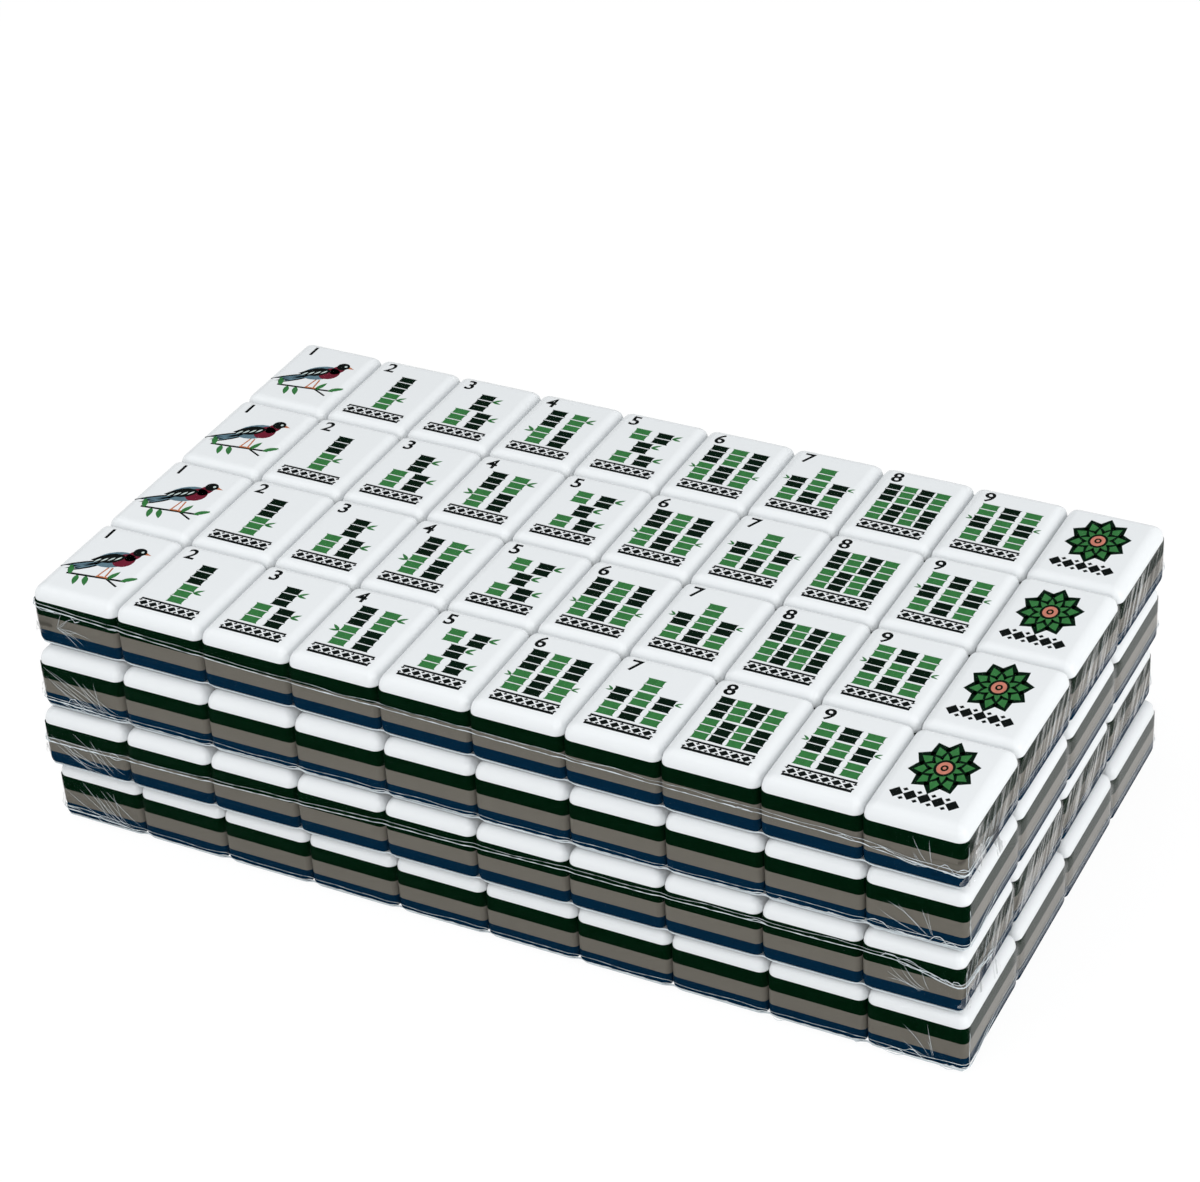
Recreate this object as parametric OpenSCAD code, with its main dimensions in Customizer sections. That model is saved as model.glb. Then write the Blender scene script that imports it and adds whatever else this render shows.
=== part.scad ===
// Trade stack of 160 game tiles: four shrink-wrapped packs of ten kinds by four rows, one on another.
// X runs along the ten kinds, Y runs from the foot of each picture to its head, Z is up.
// The origin is the middle of the bottom pack's underside.

/* [Tile] */
// Width of a tile, across its picture
tile_w = 22.4; // [18:0.1:30]
// Length of a tile, from the foot of its picture to its head
tile_l = 29.8; // [26:0.1:40]
// Thickness of the white face layer
white_t = 3.4; // [3:0.05:6]
// Thickness of the dark green layer under it
green_t = 3.95; // [2:0.05:6]
// Thickness of the grey layer under that
grey_t = 3.9; // [2:0.05:6]
// Thickness of the dark blue back layer
blue_t = 3.85; // [2.6:0.05:6]
// Radius of the face's edges and of the tile's upright corners
face_r = 2.1; // [1.5:0.1:2.9]
// Width of the bevel round the back
back_bevel = 1.2; // [0.4:0.1:1.4]

/* [Pack] */
// Rows of like tiles in each pack
rows = 4; // [1:1:6]
// Gap between neighbouring tiles
tile_gap = 0.1; // [0.05:0.05:0.6]

/* [Shrink film] */
// Thickness of the film
film_t = 0.08; // [0.04:0.01:0.2]
// Slack between the film and the tiles
film_gap = 0.12; // [0.08:0.01:0.3]
// How far the weld between the film's two halves stands out
bead_out = 0.5; // [0.2:0.05:1]
// Height of the weld bead
bead_h = 0.4; // [0.2:0.05:1]
// Height of the weld above the underside of the top and lower packs
high_seam_z = 8.2; // [5:0.1:10]
// Height of the weld above the underside of the upper and bottom packs
low_seam_z = 3; // [2.8:0.1:5]
// Width of the slit that lets air out as the film shrinks
vent_w = 4; // [1:0.5:10]
// Height of that slit
vent_h = 0.8; // [0.4:0.1:2]

/* [Lie of the packs] */
// Space that the films' creases keep between one pack and the next
pack_gap = 0.02; // [0.01:0.01:0.5]
// How far the lower pack lies along X from the bottom one
lower_x = -1.3; // [-5:0.1:5]
// How far the lower pack lies along Y
lower_y = -0.4; // [-5:0.1:5]
// Turn of the lower pack in degrees
lower_turn = 0.35; // [-2:0.05:2]
// How far the upper pack lies along X from the bottom one
upper_x = -0.8; // [-5:0.1:5]
// How far the upper pack lies along Y
upper_y = 1.2; // [-5:0.1:5]
// Turn of the upper pack in degrees
upper_turn = 0.15; // [-2:0.05:2]
// How far the top pack lies along X from the bottom one
top_x = -0.9; // [-5:0.1:5]
// How far the top pack lies along Y
top_y = 2.9; // [-5:0.1:5]
// Turn of the top pack in degrees
top_turn = -0.45; // [-2:0.05:2]

/* [Engraved canes] */
// Width of the field that the canes of one tile fill
field_w = 14; // [10:0.1:16]
// Length of that field
field_l = 15.4; // [13:0.1:20]
// How far the field's middle lies to the right of the tile's middle
field_x = 0.3; // [-1:0.1:1.5]
// How far it lies below the tile's middle
field_drop = 0.1; // [0:0.1:2]
// Width of a cane
cane_w = 3.7; // [1.5:0.1:4.6]
// Width of a cane where four stand side by side
slim_cane_w = 3; // [1:0.1:3.6]
// Space between the ends of canes in neighbouring rows
cane_gap = 0.5; // [0.3:0.1:1.5]
// Lean of the four inner canes of the eight, in degrees
cane_lean = 2; // [0:1:10]
// Depth of the engraving
engraving_depth = 0.3; // [0.1:0.05:0.6]
// Thickness of the paint in the engraving
paint_t = 0.2; // [0.05:0.05:0.5]

/* [Hidden] */
$fn = 48;

white = "#eef1f3";
dark_green = "#04190c";
warm_grey = "#6a665f";
dark_blue = "#0a2a3c";
cane_green = "#3f8248";
cane_black = "#101613";
clear_film = [0.85, 0.9, 0.92, 0.3];

// Ten kinds lie side by side in every pack, and the film holds exactly that many.
kinds = 10;
pitch_x = tile_w + tile_gap;
pitch_y = tile_l + tile_gap;
tile_h = white_t + green_t + grey_t + blue_t;
green_z = blue_t + grey_t;
white_z = green_z + green_t;
pack_w = kinds * pitch_x - tile_gap;
pack_l = rows * pitch_y - tile_gap;
skin = film_gap + film_t;
pack_h = tile_h + 2 * skin;

// The packs from the bottom up
BOTTOM = 0;
LOWER = 1;
UPPER = 2;
TOP = 3;
pack_places = [[0, 0], [lower_x, lower_y], [upper_x, upper_y], [top_x, top_y]];
pack_turns = [0, lower_turn, upper_turn, top_turn];
seam_heights = [low_seam_z, high_seam_z, low_seam_z, high_seam_z];

// Canes in each row of the picture, from the foot up, for the two to the nine
cane_rows = [[1, 1], [2, 1], [2, 2], [2, 1, 2], [3, 3], [3, 3, 1], [4, 4], [3, 3, 3]];
// Which way each cane of the eight leans, for its lower and its upper row
eight_leans = [[0, -1, 1, 0], [0, 1, -1, 0]];
// Half a cane's outline: its half width at places along it, as shares of the cane's half width and length
cane_shares = [[1, 0], [0.78, 0.25], [1, 0.5], [0.78, 0.75], [1, 1]];
// How far apart canes side by side stand, as shares of the field's width: two, three, four
spread_shares = [0, 0, 0.42, 0.37, 0.28];

// The end view of a slab's rim, from its corner's axis outward: the upper outer edge is round.
module round_profile(reach, height, edge_r) {
    difference() {
        square([reach, height]);
        translate([reach - edge_r, height - edge_r]) difference() {
            square(2 * edge_r);
            circle(r = edge_r);
        }
    }
}

// The same, with the edge bevelled instead
module bevel_profile(reach, height, bevel) {
    polygon([[0, 0], [reach, 0], [reach, height - bevel], [reach - bevel, height], [0, height]]);
}

// A slab with round upright corners whose rim has the profile given, standing on Z = 0
module rimmed_slab(width, length, height, corner_r) {
    x = width / 2 - corner_r;
    y = length / 2 - corner_r;
    translate([-x, -y, 0]) cube([2 * x, 2 * y, height]);
    for (side = [0, 1]) mirror([side, 0, 0]) translate([x, 0, 0]) rotate([90, 0, 0])
        linear_extrude(2 * y, center = true) children();
    for (side = [0, 1]) mirror([0, side, 0]) translate([0, y, 0]) rotate([90, 0, 90])
        linear_extrude(2 * x, center = true) children();
    for (a = [0, 1], b = [0, 1]) mirror([a, 0, 0]) mirror([0, b, 0]) translate([x, y, 0])
        rotate_extrude(angle = 90) children();
}

// A slab with round upright corners and square edges
module plain_slab(width, length, height, corner_r) {
    x = width / 2 - corner_r;
    y = length / 2 - corner_r;
    linear_extrude(height) {
        square([2 * x, length], center = true);
        square([width, 2 * y], center = true);
        for (a = [-1, 1], b = [-1, 1]) translate([a * x, b * y]) circle(r = corner_r);
    }
}

// Puts what follows in a pack: Z = 0 there is the underside of its tiles.
module in_pack(level) {
    translate([pack_places[level].x, pack_places[level].y, level * (pack_h + pack_gap) + skin])
        rotate(pack_turns[level]) children();
}

// Puts what follows on each tile of one kind, which lie in one column from the front to the back.
module on_tiles(column) {
    for (row = [0 : rows - 1])
        translate([(column + 0.5) * pitch_x - (pack_w + tile_gap) / 2,
            (row + 0.5) * pitch_y - (pack_l + tile_gap) / 2, 0]) children();
}

module on_all_tiles() {
    for (column = [0 : kinds - 1]) on_tiles(column) children();
}

module white_layer() {
    translate([0, 0, white_z])
        rimmed_slab(tile_w, tile_l, white_t, face_r) round_profile(face_r, white_t, face_r);
}

module green_layer() {
    translate([0, 0, green_z]) plain_slab(tile_w, tile_l, green_t, face_r);
}

module grey_layer() {
    translate([0, 0, blue_t]) plain_slab(tile_w, tile_l, grey_t, face_r);
}

module blue_layer() {
    translate([0, 0, blue_t]) mirror([0, 0, 1])
        rimmed_slab(tile_w, tile_l, blue_t, face_r) bevel_profile(face_r, blue_t, back_bevel);
}

// A cane, flared at its ends and its joint, centred on the origin
module cane(width, length) {
    right = [for (share = cane_shares) [share.x * width / 2, (share.y - 0.5) * length]];
    left = [for (i = [len(right) - 1 : -1 : 0]) [-right[i].x, right[i].y]];
    polygon(concat(right, left));
}

// The canes of one tile as flat outlines. Shade 0 is the green ones, 1 the black ones.
module cane_field(count, shades) {
    picture = cane_rows[count - 2];
    row_pitch = (field_l + cane_gap) / len(picture);
    for (row = [0 : len(picture) - 1], i = [0 : picture[row] - 1]) {
        across = picture[row];
        lean = count == 8 ? eight_leans[row][i] * cane_lean : 0;
        shade = (row + i) % 2;
        if (len(search(shade, shades)) > 0)
            translate([field_x + (i - (across - 1) / 2) * spread_shares[across] * field_w,
                (row + 0.5) * row_pitch - (field_l + cane_gap) / 2 - field_drop])
                rotate(lean) cane(across == 4 ? slim_cane_w : cane_w, row_pitch - cane_gap);
    }
}

module engraved_faces(count) {
    color(white) in_pack(TOP) on_tiles(count - 1) difference() {
        white_layer();
        translate([0, 0, tile_h - engraving_depth])
            linear_extrude(2 * engraving_depth) cane_field(count, [0, 1]);
    }
}

module cane_paint(shade) {
    in_pack(TOP) for (count = [2 : 9]) on_tiles(count - 1)
        translate([0, 0, tile_h - engraving_depth])
            linear_extrude(paint_t) cane_field(count, [shade]);
}

module plain_faces(level, column) {
    color(white) in_pack(level) on_tiles(column) white_layer();
}

module green_layers(level) {
    color(dark_green) in_pack(level) on_all_tiles() green_layer();
}

module grey_layers(level) {
    color(warm_grey) in_pack(level) on_all_tiles() grey_layer();
}

module blue_backs(level) {
    color(dark_blue) in_pack(level) on_all_tiles() blue_layer();
}

// Like strips side by side, each with round corners, as the tiles' columns or rows lie in plan
module strips(count, pitch, width, length, corner_r) {
    for (i = [0 : count - 1]) translate([(i - (count - 1) / 2) * pitch, 0]) {
        square([width - 2 * corner_r, length], center = true);
        square([width, length - 2 * corner_r], center = true);
        for (a = [-1, 1], b = [-1, 1])
            translate([a * (width / 2 - corner_r), b * (length / 2 - corner_r)]) circle(r = corner_r);
    }
}

// The same strips seen from their ends: a row of round-shouldered humps on one flat-bottomed foot
module humps(count, pitch, width, grown) {
    shoulder_r = face_r + grown;
    foot_r = back_bevel + grown;
    overall = (count - 1) * pitch + width;
    for (i = [0 : count - 1]) translate([(i - (count - 1) / 2) * pitch, 0]) {
        translate([-width / 2, blue_t]) square([width, tile_h + grown - shoulder_r - blue_t]);
        translate([shoulder_r - width / 2, blue_t])
            square([width - 2 * shoulder_r, tile_h + grown - blue_t]);
        for (side = [-1, 1])
            translate([side * (width / 2 - shoulder_r), tile_h + grown - shoulder_r])
                circle(r = shoulder_r);
    }
    translate([-overall / 2, foot_r - grown]) square([overall, blue_t + grown - foot_r]);
    translate([foot_r - overall / 2, -grown]) square([overall - 2 * foot_r, blue_t + grown]);
    for (side = [-1, 1]) translate([side * (overall / 2 - foot_r), foot_r - grown])
        circle(r = foot_r);
}

// The outline of a pack, grown by the same distance all round: drawn into the grooves between the
// tiles on top and at the sides, and taut underneath
module pack_block(grown) {
    width = tile_w + 2 * grown;
    length = tile_l + 2 * grown;
    corner_r = face_r + grown;
    intersection() {
        linear_extrude(2 * pack_h, center = true)
            strips(kinds, pitch_x, width, pack_l + 2 * grown, corner_r);
        linear_extrude(2 * pack_h, center = true) rotate(90)
            strips(rows, pitch_y, length, pack_w + 2 * grown, corner_r);
        rotate([90, 0, 0]) linear_extrude(2 * pack_l, center = true)
            humps(kinds, pitch_x, width, grown);
        rotate([90, 0, 90]) linear_extrude(2 * pack_w, center = true)
            humps(rows, pitch_y, length, grown);
    }
}

module film(level) {
    bead_z = seam_heights[level] - skin - bead_h / 2;
    rim = 2 * (skin + bead_out);
    color(clear_film) in_pack(level) difference() {
        union() {
            pack_block(skin);
            translate([0, 0, bead_z])
                plain_slab(pack_w + rim, pack_l + rim, bead_h, face_r + skin + bead_out);
        }
        pack_block(film_gap);
        translate([pack_w / 2, -(pack_l - tile_l + vent_w) / 2, bead_z + 2 * bead_h])
            cube([rim, vent_w, vent_h]);
    }
}

module bamboo_1_faces() { plain_faces(TOP, 0); }
module bamboo_2_faces() { engraved_faces(2); }
module bamboo_3_faces() { engraved_faces(3); }
module bamboo_4_faces() { engraved_faces(4); }
module bamboo_5_faces() { engraved_faces(5); }
module bamboo_6_faces() { engraved_faces(6); }
module bamboo_7_faces() { engraved_faces(7); }
module bamboo_8_faces() { engraved_faces(8); }
module bamboo_9_faces() { engraved_faces(9); }
module green_dragon_faces() { plain_faces(TOP, 9); }
module bamboo_green_canes() { color(cane_green) cane_paint(0); }
module bamboo_black_canes() { color(cane_black) cane_paint(1); }
module bamboo_green_layers() { green_layers(TOP); }
module bamboo_grey_layers() { grey_layers(TOP); }
module bamboo_blue_backs() { blue_backs(TOP); }
module bamboo_film() { film(TOP); }

module circle_1_faces() { plain_faces(UPPER, 0); }
module circle_2_faces() { plain_faces(UPPER, 1); }
module circle_3_faces() { plain_faces(UPPER, 2); }
module circle_4_faces() { plain_faces(UPPER, 3); }
module circle_5_faces() { plain_faces(UPPER, 4); }
module circle_6_faces() { plain_faces(UPPER, 5); }
module circle_7_faces() { plain_faces(UPPER, 6); }
module circle_8_faces() { plain_faces(UPPER, 7); }
module circle_9_faces() { plain_faces(UPPER, 8); }
module white_dragon_faces() { plain_faces(UPPER, 9); }
module circle_green_layers() { green_layers(UPPER); }
module circle_grey_layers() { grey_layers(UPPER); }
module circle_blue_backs() { blue_backs(UPPER); }
module circle_film() { film(UPPER); }

module character_1_faces() { plain_faces(LOWER, 0); }
module character_2_faces() { plain_faces(LOWER, 1); }
module character_3_faces() { plain_faces(LOWER, 2); }
module character_4_faces() { plain_faces(LOWER, 3); }
module character_5_faces() { plain_faces(LOWER, 4); }
module character_6_faces() { plain_faces(LOWER, 5); }
module character_7_faces() { plain_faces(LOWER, 6); }
module character_8_faces() { plain_faces(LOWER, 7); }
module character_9_faces() { plain_faces(LOWER, 8); }
module red_dragon_faces() { plain_faces(LOWER, 9); }
module character_green_layers() { green_layers(LOWER); }
module character_grey_layers() { grey_layers(LOWER); }
module character_blue_backs() { blue_backs(LOWER); }
module character_film() { film(LOWER); }

module east_wind_faces() { plain_faces(BOTTOM, 0); }
module south_wind_faces() { plain_faces(BOTTOM, 1); }
module west_wind_faces() { plain_faces(BOTTOM, 2); }
module north_wind_faces() { plain_faces(BOTTOM, 3); }
module flower_faces() { for (column = [4, 5]) plain_faces(BOTTOM, column); }
module joker_faces() { for (column = [6, 7]) plain_faces(BOTTOM, column); }
module blank_faces() { for (column = [8, 9]) plain_faces(BOTTOM, column); }
module honour_green_layers() { green_layers(BOTTOM); }
module honour_grey_layers() { grey_layers(BOTTOM); }
module honour_blue_backs() { blue_backs(BOTTOM); }
module honour_film() { film(BOTTOM); }

bamboo_1_faces();
bamboo_2_faces();
bamboo_3_faces();
bamboo_4_faces();
bamboo_5_faces();
bamboo_6_faces();
bamboo_7_faces();
bamboo_8_faces();
bamboo_9_faces();
green_dragon_faces();
bamboo_green_canes();
bamboo_black_canes();
bamboo_green_layers();
bamboo_grey_layers();
bamboo_blue_backs();
bamboo_film();
circle_1_faces();
circle_2_faces();
circle_3_faces();
circle_4_faces();
circle_5_faces();
circle_6_faces();
circle_7_faces();
circle_8_faces();
circle_9_faces();
white_dragon_faces();
circle_green_layers();
circle_grey_layers();
circle_blue_backs();
circle_film();
character_1_faces();
character_2_faces();
character_3_faces();
character_4_faces();
character_5_faces();
character_6_faces();
character_7_faces();
character_8_faces();
character_9_faces();
red_dragon_faces();
character_green_layers();
character_grey_layers();
character_blue_backs();
character_film();
east_wind_faces();
south_wind_faces();
west_wind_faces();
north_wind_faces();
flower_faces();
joker_faces();
blank_faces();
honour_green_layers();
honour_grey_layers();
honour_blue_backs();
honour_film();
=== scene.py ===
"""Trade stack of laminated mahjong tiles: four shrink-wrapped packs, with the studio they are shown in.

Pieces are modelled in millimetres in the frame of their pack, then laid in the stack in metres.
"""
import math
import random

import bpy
from mathutils import Matrix, Vector, noise


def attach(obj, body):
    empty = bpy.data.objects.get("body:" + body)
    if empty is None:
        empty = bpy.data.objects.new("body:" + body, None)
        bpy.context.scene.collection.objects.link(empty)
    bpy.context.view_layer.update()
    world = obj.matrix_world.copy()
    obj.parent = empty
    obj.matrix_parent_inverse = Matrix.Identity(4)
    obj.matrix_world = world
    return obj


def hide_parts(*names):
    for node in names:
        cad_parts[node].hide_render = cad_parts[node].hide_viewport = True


bl_info = {
    "name": "Shrink-wrapped tile stack",
    "version": (1, 0, 0),
    "blender": (4, 5, 0),
    "location": "3D View > Sidebar > Tile Stack",
    "description": "Laminated, engraved game tiles in four shrink-wrapped packs",
    "category": "Object",
}

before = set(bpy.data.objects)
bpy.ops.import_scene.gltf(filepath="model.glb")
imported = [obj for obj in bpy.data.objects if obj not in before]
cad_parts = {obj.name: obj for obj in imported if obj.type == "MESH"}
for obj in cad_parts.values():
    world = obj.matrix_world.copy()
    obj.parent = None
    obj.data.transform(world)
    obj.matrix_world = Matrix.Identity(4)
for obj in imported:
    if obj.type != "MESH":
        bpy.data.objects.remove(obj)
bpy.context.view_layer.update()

MM = 0.001
KINDS = 10
ROWS = 4
BOTTOM, LOWER, UPPER, TOP = LEVELS = range(4)
SUITS = ["honour", "character", "circle", "bamboo"]
BODIES = ["bottom_pack", "lower_pack", "upper_pack", "top_pack"]
# How each pack lies on the bottom one: along X and Y in mm, and its turn in degrees
LIES = [(0, 0, 0), (-1.3, -0.4, 0.35), (-0.8, 1.2, 0.15), (-0.9, 2.9, -0.45)]
# The kind of each column in each pack; a kind that fills two columns is one node
FACE_NODES = [
    ["east_wind", "south_wind", "west_wind", "north_wind",
     "flower", "flower", "joker", "joker", "blank", "blank"],
    ["character_%d" % n for n in range(1, 10)] + ["red_dragon"],
    ["circle_%d" % n for n in range(1, 10)] + ["white_dragon"],
    ["bamboo_%d" % n for n in range(1, 10)] + ["green_dragon"],
]
PAINTS = ["green", "dark", "ink", "wine", "slate", "orange", "terracotta", "blue", "pale"]


# ---------------------------------------------------------------- sizes and colours

def length(name, description, default, low, high):
    return bpy.props.FloatProperty(name=name, description=description, default=default * MM,
                                   min=low * MM, max=high * MM, precision=5, unit="LENGTH")


def srgb(value):
    """An sRGB hex value as a linear colour."""
    parts = [int(value[i:i + 2], 16) / 255 for i in (1, 3, 5)]
    return tuple(p / 12.92 if p <= 0.04045 else ((p + 0.055) / 1.055) ** 2.4 for p in parts)


def colour(name, description, value):
    return bpy.props.FloatVectorProperty(name=name, description=description, subtype="COLOR",
                                         size=3, min=0, max=1, default=srgb(value))


class TileSizes(bpy.types.PropertyGroup):
    tile_w: length("Tile width", "Width of a tile, across its picture", 22.4, 18, 30)
    tile_l: length("Tile length", "Length of a tile, from its picture's foot to its head", 29.8, 26, 40)
    white_t: length("White layer", "Thickness of the white face layer", 3.4, 3, 6)
    green_t: length("Green layer", "Thickness of the dark green layer", 3.95, 2, 6)
    grey_t: length("Grey layer", "Thickness of the grey layer", 3.9, 2, 6)
    blue_t: length("Blue layer", "Thickness of the dark blue back", 3.85, 2.6, 6)
    face_r: length("Face radius", "Radius of the face's edges", 2.8, 1.5, 2.9)
    corner_r: length("Corner radius", "Radius of the coloured layers' upright corners", 1.5, 0.5, 2.2)
    back_r: length("Back radius", "Radius of the edges round the back", 1.5, 0.4, 2.4)
    tile_gap: length("Tile gap", "Gap between neighbouring tiles", 0.1, 0.05, 0.6)
    pack_gap: length("Pack gap", "Space between one pack and the next", 0.02, 0.01, 0.5)
    film_skin: length("Film skin", "Film and the slack under it", 0.2, 0.1, 0.5)
    engraving: length("Engraving", "Depth of the engraved pictures", 0.3, 0.1, 0.6)
    paint_t: length("Paint", "Thickness of the paint in the engraving", 0.2, 0.05, 0.5)


class StackColours(bpy.types.PropertyGroup):
    white: colour("White melamine", "Face layer", "#e9ebec")
    green: colour("Green melamine", "Second layer", "#031a0b")
    grey: colour("Grey melamine", "Third layer", "#6c6860")
    blue: colour("Blue melamine", "Back layer", "#06253b")
    paint_green: colour("Mid green paint", "Canes and leaves", "#37733f")
    paint_dark: colour("Dark green paint", "Canes", "#08190f")
    paint_ink: colour("Black paint", "Numerals and borders", "#101413")
    paint_wine: colour("Wine red paint", "Breast of the bird", "#6b2030")
    paint_slate: colour("Slate paint", "Back of the bird", "#5c7682")
    paint_orange: colour("Orange paint", "Legs and beak of the bird", "#b9714d")
    paint_terracotta: colour("Terracotta paint", "Middle of the rosette", "#c07a68")
    paint_blue: colour("Blue paint", "Dots and frames", "#24567c")
    paint_pale: colour("Pale paint", "Small lights in the pictures", "#c9d6d2")


def sizes():
    """The sizes in millimetres."""
    group = bpy.context.scene.tile_sizes
    return {name: getattr(group, name) / MM for name in TileSizes.__annotations__}


# ---------------------------------------------------------------- modelling helpers

def clear():
    active = bpy.context.view_layer.objects.active
    if active is not None and active.mode != "OBJECT":
        bpy.ops.object.mode_set(mode="OBJECT")
    for obj in bpy.context.selected_objects:
        obj.select_set(False)


def select(objects, active=None):
    clear()
    for obj in objects:
        obj.select_set(True)
    bpy.context.view_layer.objects.active = active or objects[0]


def join(objects, name):
    select(objects)
    if len(objects) > 1:
        bpy.ops.object.join()
    joined = bpy.context.view_layer.objects.active
    joined.name = name
    joined.data.name = name
    return joined


def duplicate(obj):
    """A copy of an object with its own mesh."""
    twin = obj.copy()
    twin.data = obj.data.copy()
    bpy.context.collection.objects.link(twin)
    return twin


def remove(obj):
    bpy.data.meshes.remove(obj.data)


def modify(obj, kind, **settings):
    """Adds a modifier, sets it and applies it."""
    select([obj])
    bpy.ops.object.modifier_add(type=kind)
    modifier = obj.modifiers[-1]
    for key, value in settings.items():
        setattr(modifier, key, value)
    bpy.ops.object.modifier_apply(modifier=modifier.name)


def repeat(obj, count, step):
    modify(obj, "ARRAY", count=count, use_relative_offset=False, use_constant_offset=True,
           constant_offset_displace=step)


def shift(obj, x=0, y=0, z=0):
    obj.data.transform(Matrix.Translation((x, y, z)))


def smooth(obj, degrees):
    """Smooth shading, with the edges sharper than this kept sharp."""
    select([obj])
    bpy.ops.object.shade_smooth_by_angle(angle=math.radians(degrees))


def pick_edges(obj, wanted):
    """Enters edit mode with the edges selected whose two ends pass the test."""
    select([obj])
    bpy.ops.object.mode_set(mode="EDIT")
    bpy.ops.mesh.select_mode(type="EDGE")
    bpy.ops.mesh.select_all(action="DESELECT")
    bpy.ops.object.mode_set(mode="OBJECT")
    vertices = obj.data.vertices
    for edge in obj.data.edges:
        a, b = (vertices[i].co for i in edge.vertices)
        edge.select = wanted(a, b)
    bpy.ops.object.mode_set(mode="EDIT")


def bevel_edges(obj, wanted, offset, segments):
    pick_edges(obj, wanted)
    bpy.ops.mesh.bevel(offset=offset, offset_type="OFFSET", segments=segments, profile=0.5,
                       affect="EDGES", clamp_overlap=False)
    bpy.ops.object.mode_set(mode="OBJECT")


def pack_height(s):
    return s["white_t"] + s["green_t"] + s["grey_t"] + s["blue_t"] + 2 * s["film_skin"]


def lay_in_stack(obj, level):
    """Takes a piece from its pack's own millimetres to its place in the stack, in metres."""
    s = sizes()
    x, y, turn = LIES[level]
    z = level * (pack_height(s) + s["pack_gap"]) + s["film_skin"]
    place = Matrix.Translation((x * MM, y * MM, z * MM)) @ Matrix.Rotation(math.radians(turn), 4, "Z")
    obj.data.transform(place @ Matrix.Scale(MM, 4))


def finish_piece(obj, level, material, nodes=()):
    """Lays a piece in the stack and gives it its finish, its body and the CAD nodes that it
    replaces."""
    lay_in_stack(obj, level)
    for one in material if isinstance(material, list) else [material]:
        obj.data.materials.append(one)
    if nodes:
        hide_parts(*nodes)
    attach(obj, BODIES[level])
    return obj


# ---------------------------------------------------------------- materials

def add(tree, kind, inputs=None, **settings):
    """Adds a node with its settings, values and links."""
    node = tree.nodes.new(kind)
    for key, value in settings.items():
        setattr(node, key, value)
    for socket, value in (inputs or {}).items():
        if isinstance(value, bpy.types.NodeSocket):
            tree.links.new(value, node.inputs[socket])
        else:
            node.inputs[socket].default_value = value
    return node


def new_material(name):
    material = bpy.data.materials.new(name)
    material.use_nodes = True
    material.node_tree.nodes.clear()
    return material, material.node_tree


def per_mm(size):
    """The scale of a pattern on metre coordinates whose feature is this many millimetres."""
    return 1 / (size * MM)


def melamine(name, base, roughness=0.2, mottle=0.05, specular=0.0):
    """Compression-moulded melamine, tumbled to a soft polish: a hard, even gloss over a dense,
    faintly mottled colour, with the slight waviness that tumbling leaves."""
    material, tree = new_material(name)
    place = add(tree, "ShaderNodeTexCoord").outputs["Object"]
    # Mottling of the moulding powder, a few millimetres across
    powder = add(tree, "ShaderNodeTexNoise", {"Vector": place, "Scale": per_mm(2.6), "Detail": 4.0,
                                              "Roughness": 0.6})
    dim = tuple(c * (1 - mottle) for c in base) + (1,)
    lit = tuple(min(1, c * (1 + mottle)) for c in base) + (1,)
    tint = add(tree, "ShaderNodeMix", {0: powder.outputs["Fac"], 6: dim, 7: lit}, data_type="RGBA")
    gloss = add(tree, "ShaderNodeMapRange", {"Value": powder.outputs["Fac"], "To Min": roughness - 0.05,
                                             "To Max": roughness + 0.05})
    # Tumbling leaves waves some millimetres long and a few hundredths of one high
    waves = add(tree, "ShaderNodeTexNoise", {"Vector": place, "Scale": per_mm(6), "Detail": 1.0})
    bump = add(tree, "ShaderNodeBump", {"Height": waves.outputs["Fac"], "Strength": 0.25,
                                        "Distance": 0.03 * MM})
    shader = add(tree, "ShaderNodeBsdfPrincipled",
                 {"Base Color": tint.outputs[2], "Roughness": gloss.outputs["Result"],
                  "Normal": bump.outputs["Normal"], "Specular IOR Level": specular, "IOR": 1.5})
    add(tree, "ShaderNodeOutputMaterial", {"Surface": shader.outputs["BSDF"]})
    return material


def brushed_paint(name, base):
    """Enamel brushed into the engraving: it levels as it dries, thinner and paler where the brush
    dragged, with a softer gloss than the tile."""
    material, tree = new_material(name)
    place = add(tree, "ShaderNodeTexCoord").outputs["Object"]
    long_way = add(tree, "ShaderNodeMapping", {"Vector": place, "Scale": (1, 0.3, 1)})
    drag = add(tree, "ShaderNodeTexNoise", {"Vector": long_way.outputs["Vector"], "Scale": per_mm(0.8),
                                            "Detail": 3.0})
    thin = tuple(min(1, c * 1.3 + 0.002) for c in base) + (1,)
    thick = tuple(c * 0.8 for c in base) + (1,)
    tint = add(tree, "ShaderNodeMix", {0: drag.outputs["Fac"], 6: thick, 7: thin}, data_type="RGBA")
    bump = add(tree, "ShaderNodeBump", {"Height": drag.outputs["Fac"], "Strength": 0.3,
                                        "Distance": 0.02 * MM})
    shader = add(tree, "ShaderNodeBsdfPrincipled",
                 {"Base Color": tint.outputs[2], "Roughness": 0.35, "Normal": bump.outputs["Normal"],
                  "Specular IOR Level": 0.0})
    add(tree, "ShaderNodeOutputMaterial", {"Surface": shader.outputs["BSDF"]})
    return material


# Painted light and shade streaks that stand for the film's folds: how far apart and how long they are in
# mm, and their slant in degrees
STREAK_W, STREAK_L, STREAK_SLANT = 1.5, 16, -29
# A higher power keeps the film's sheen nearer to where it is seen along its face
SHEEN_POWER = 6.0


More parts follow.
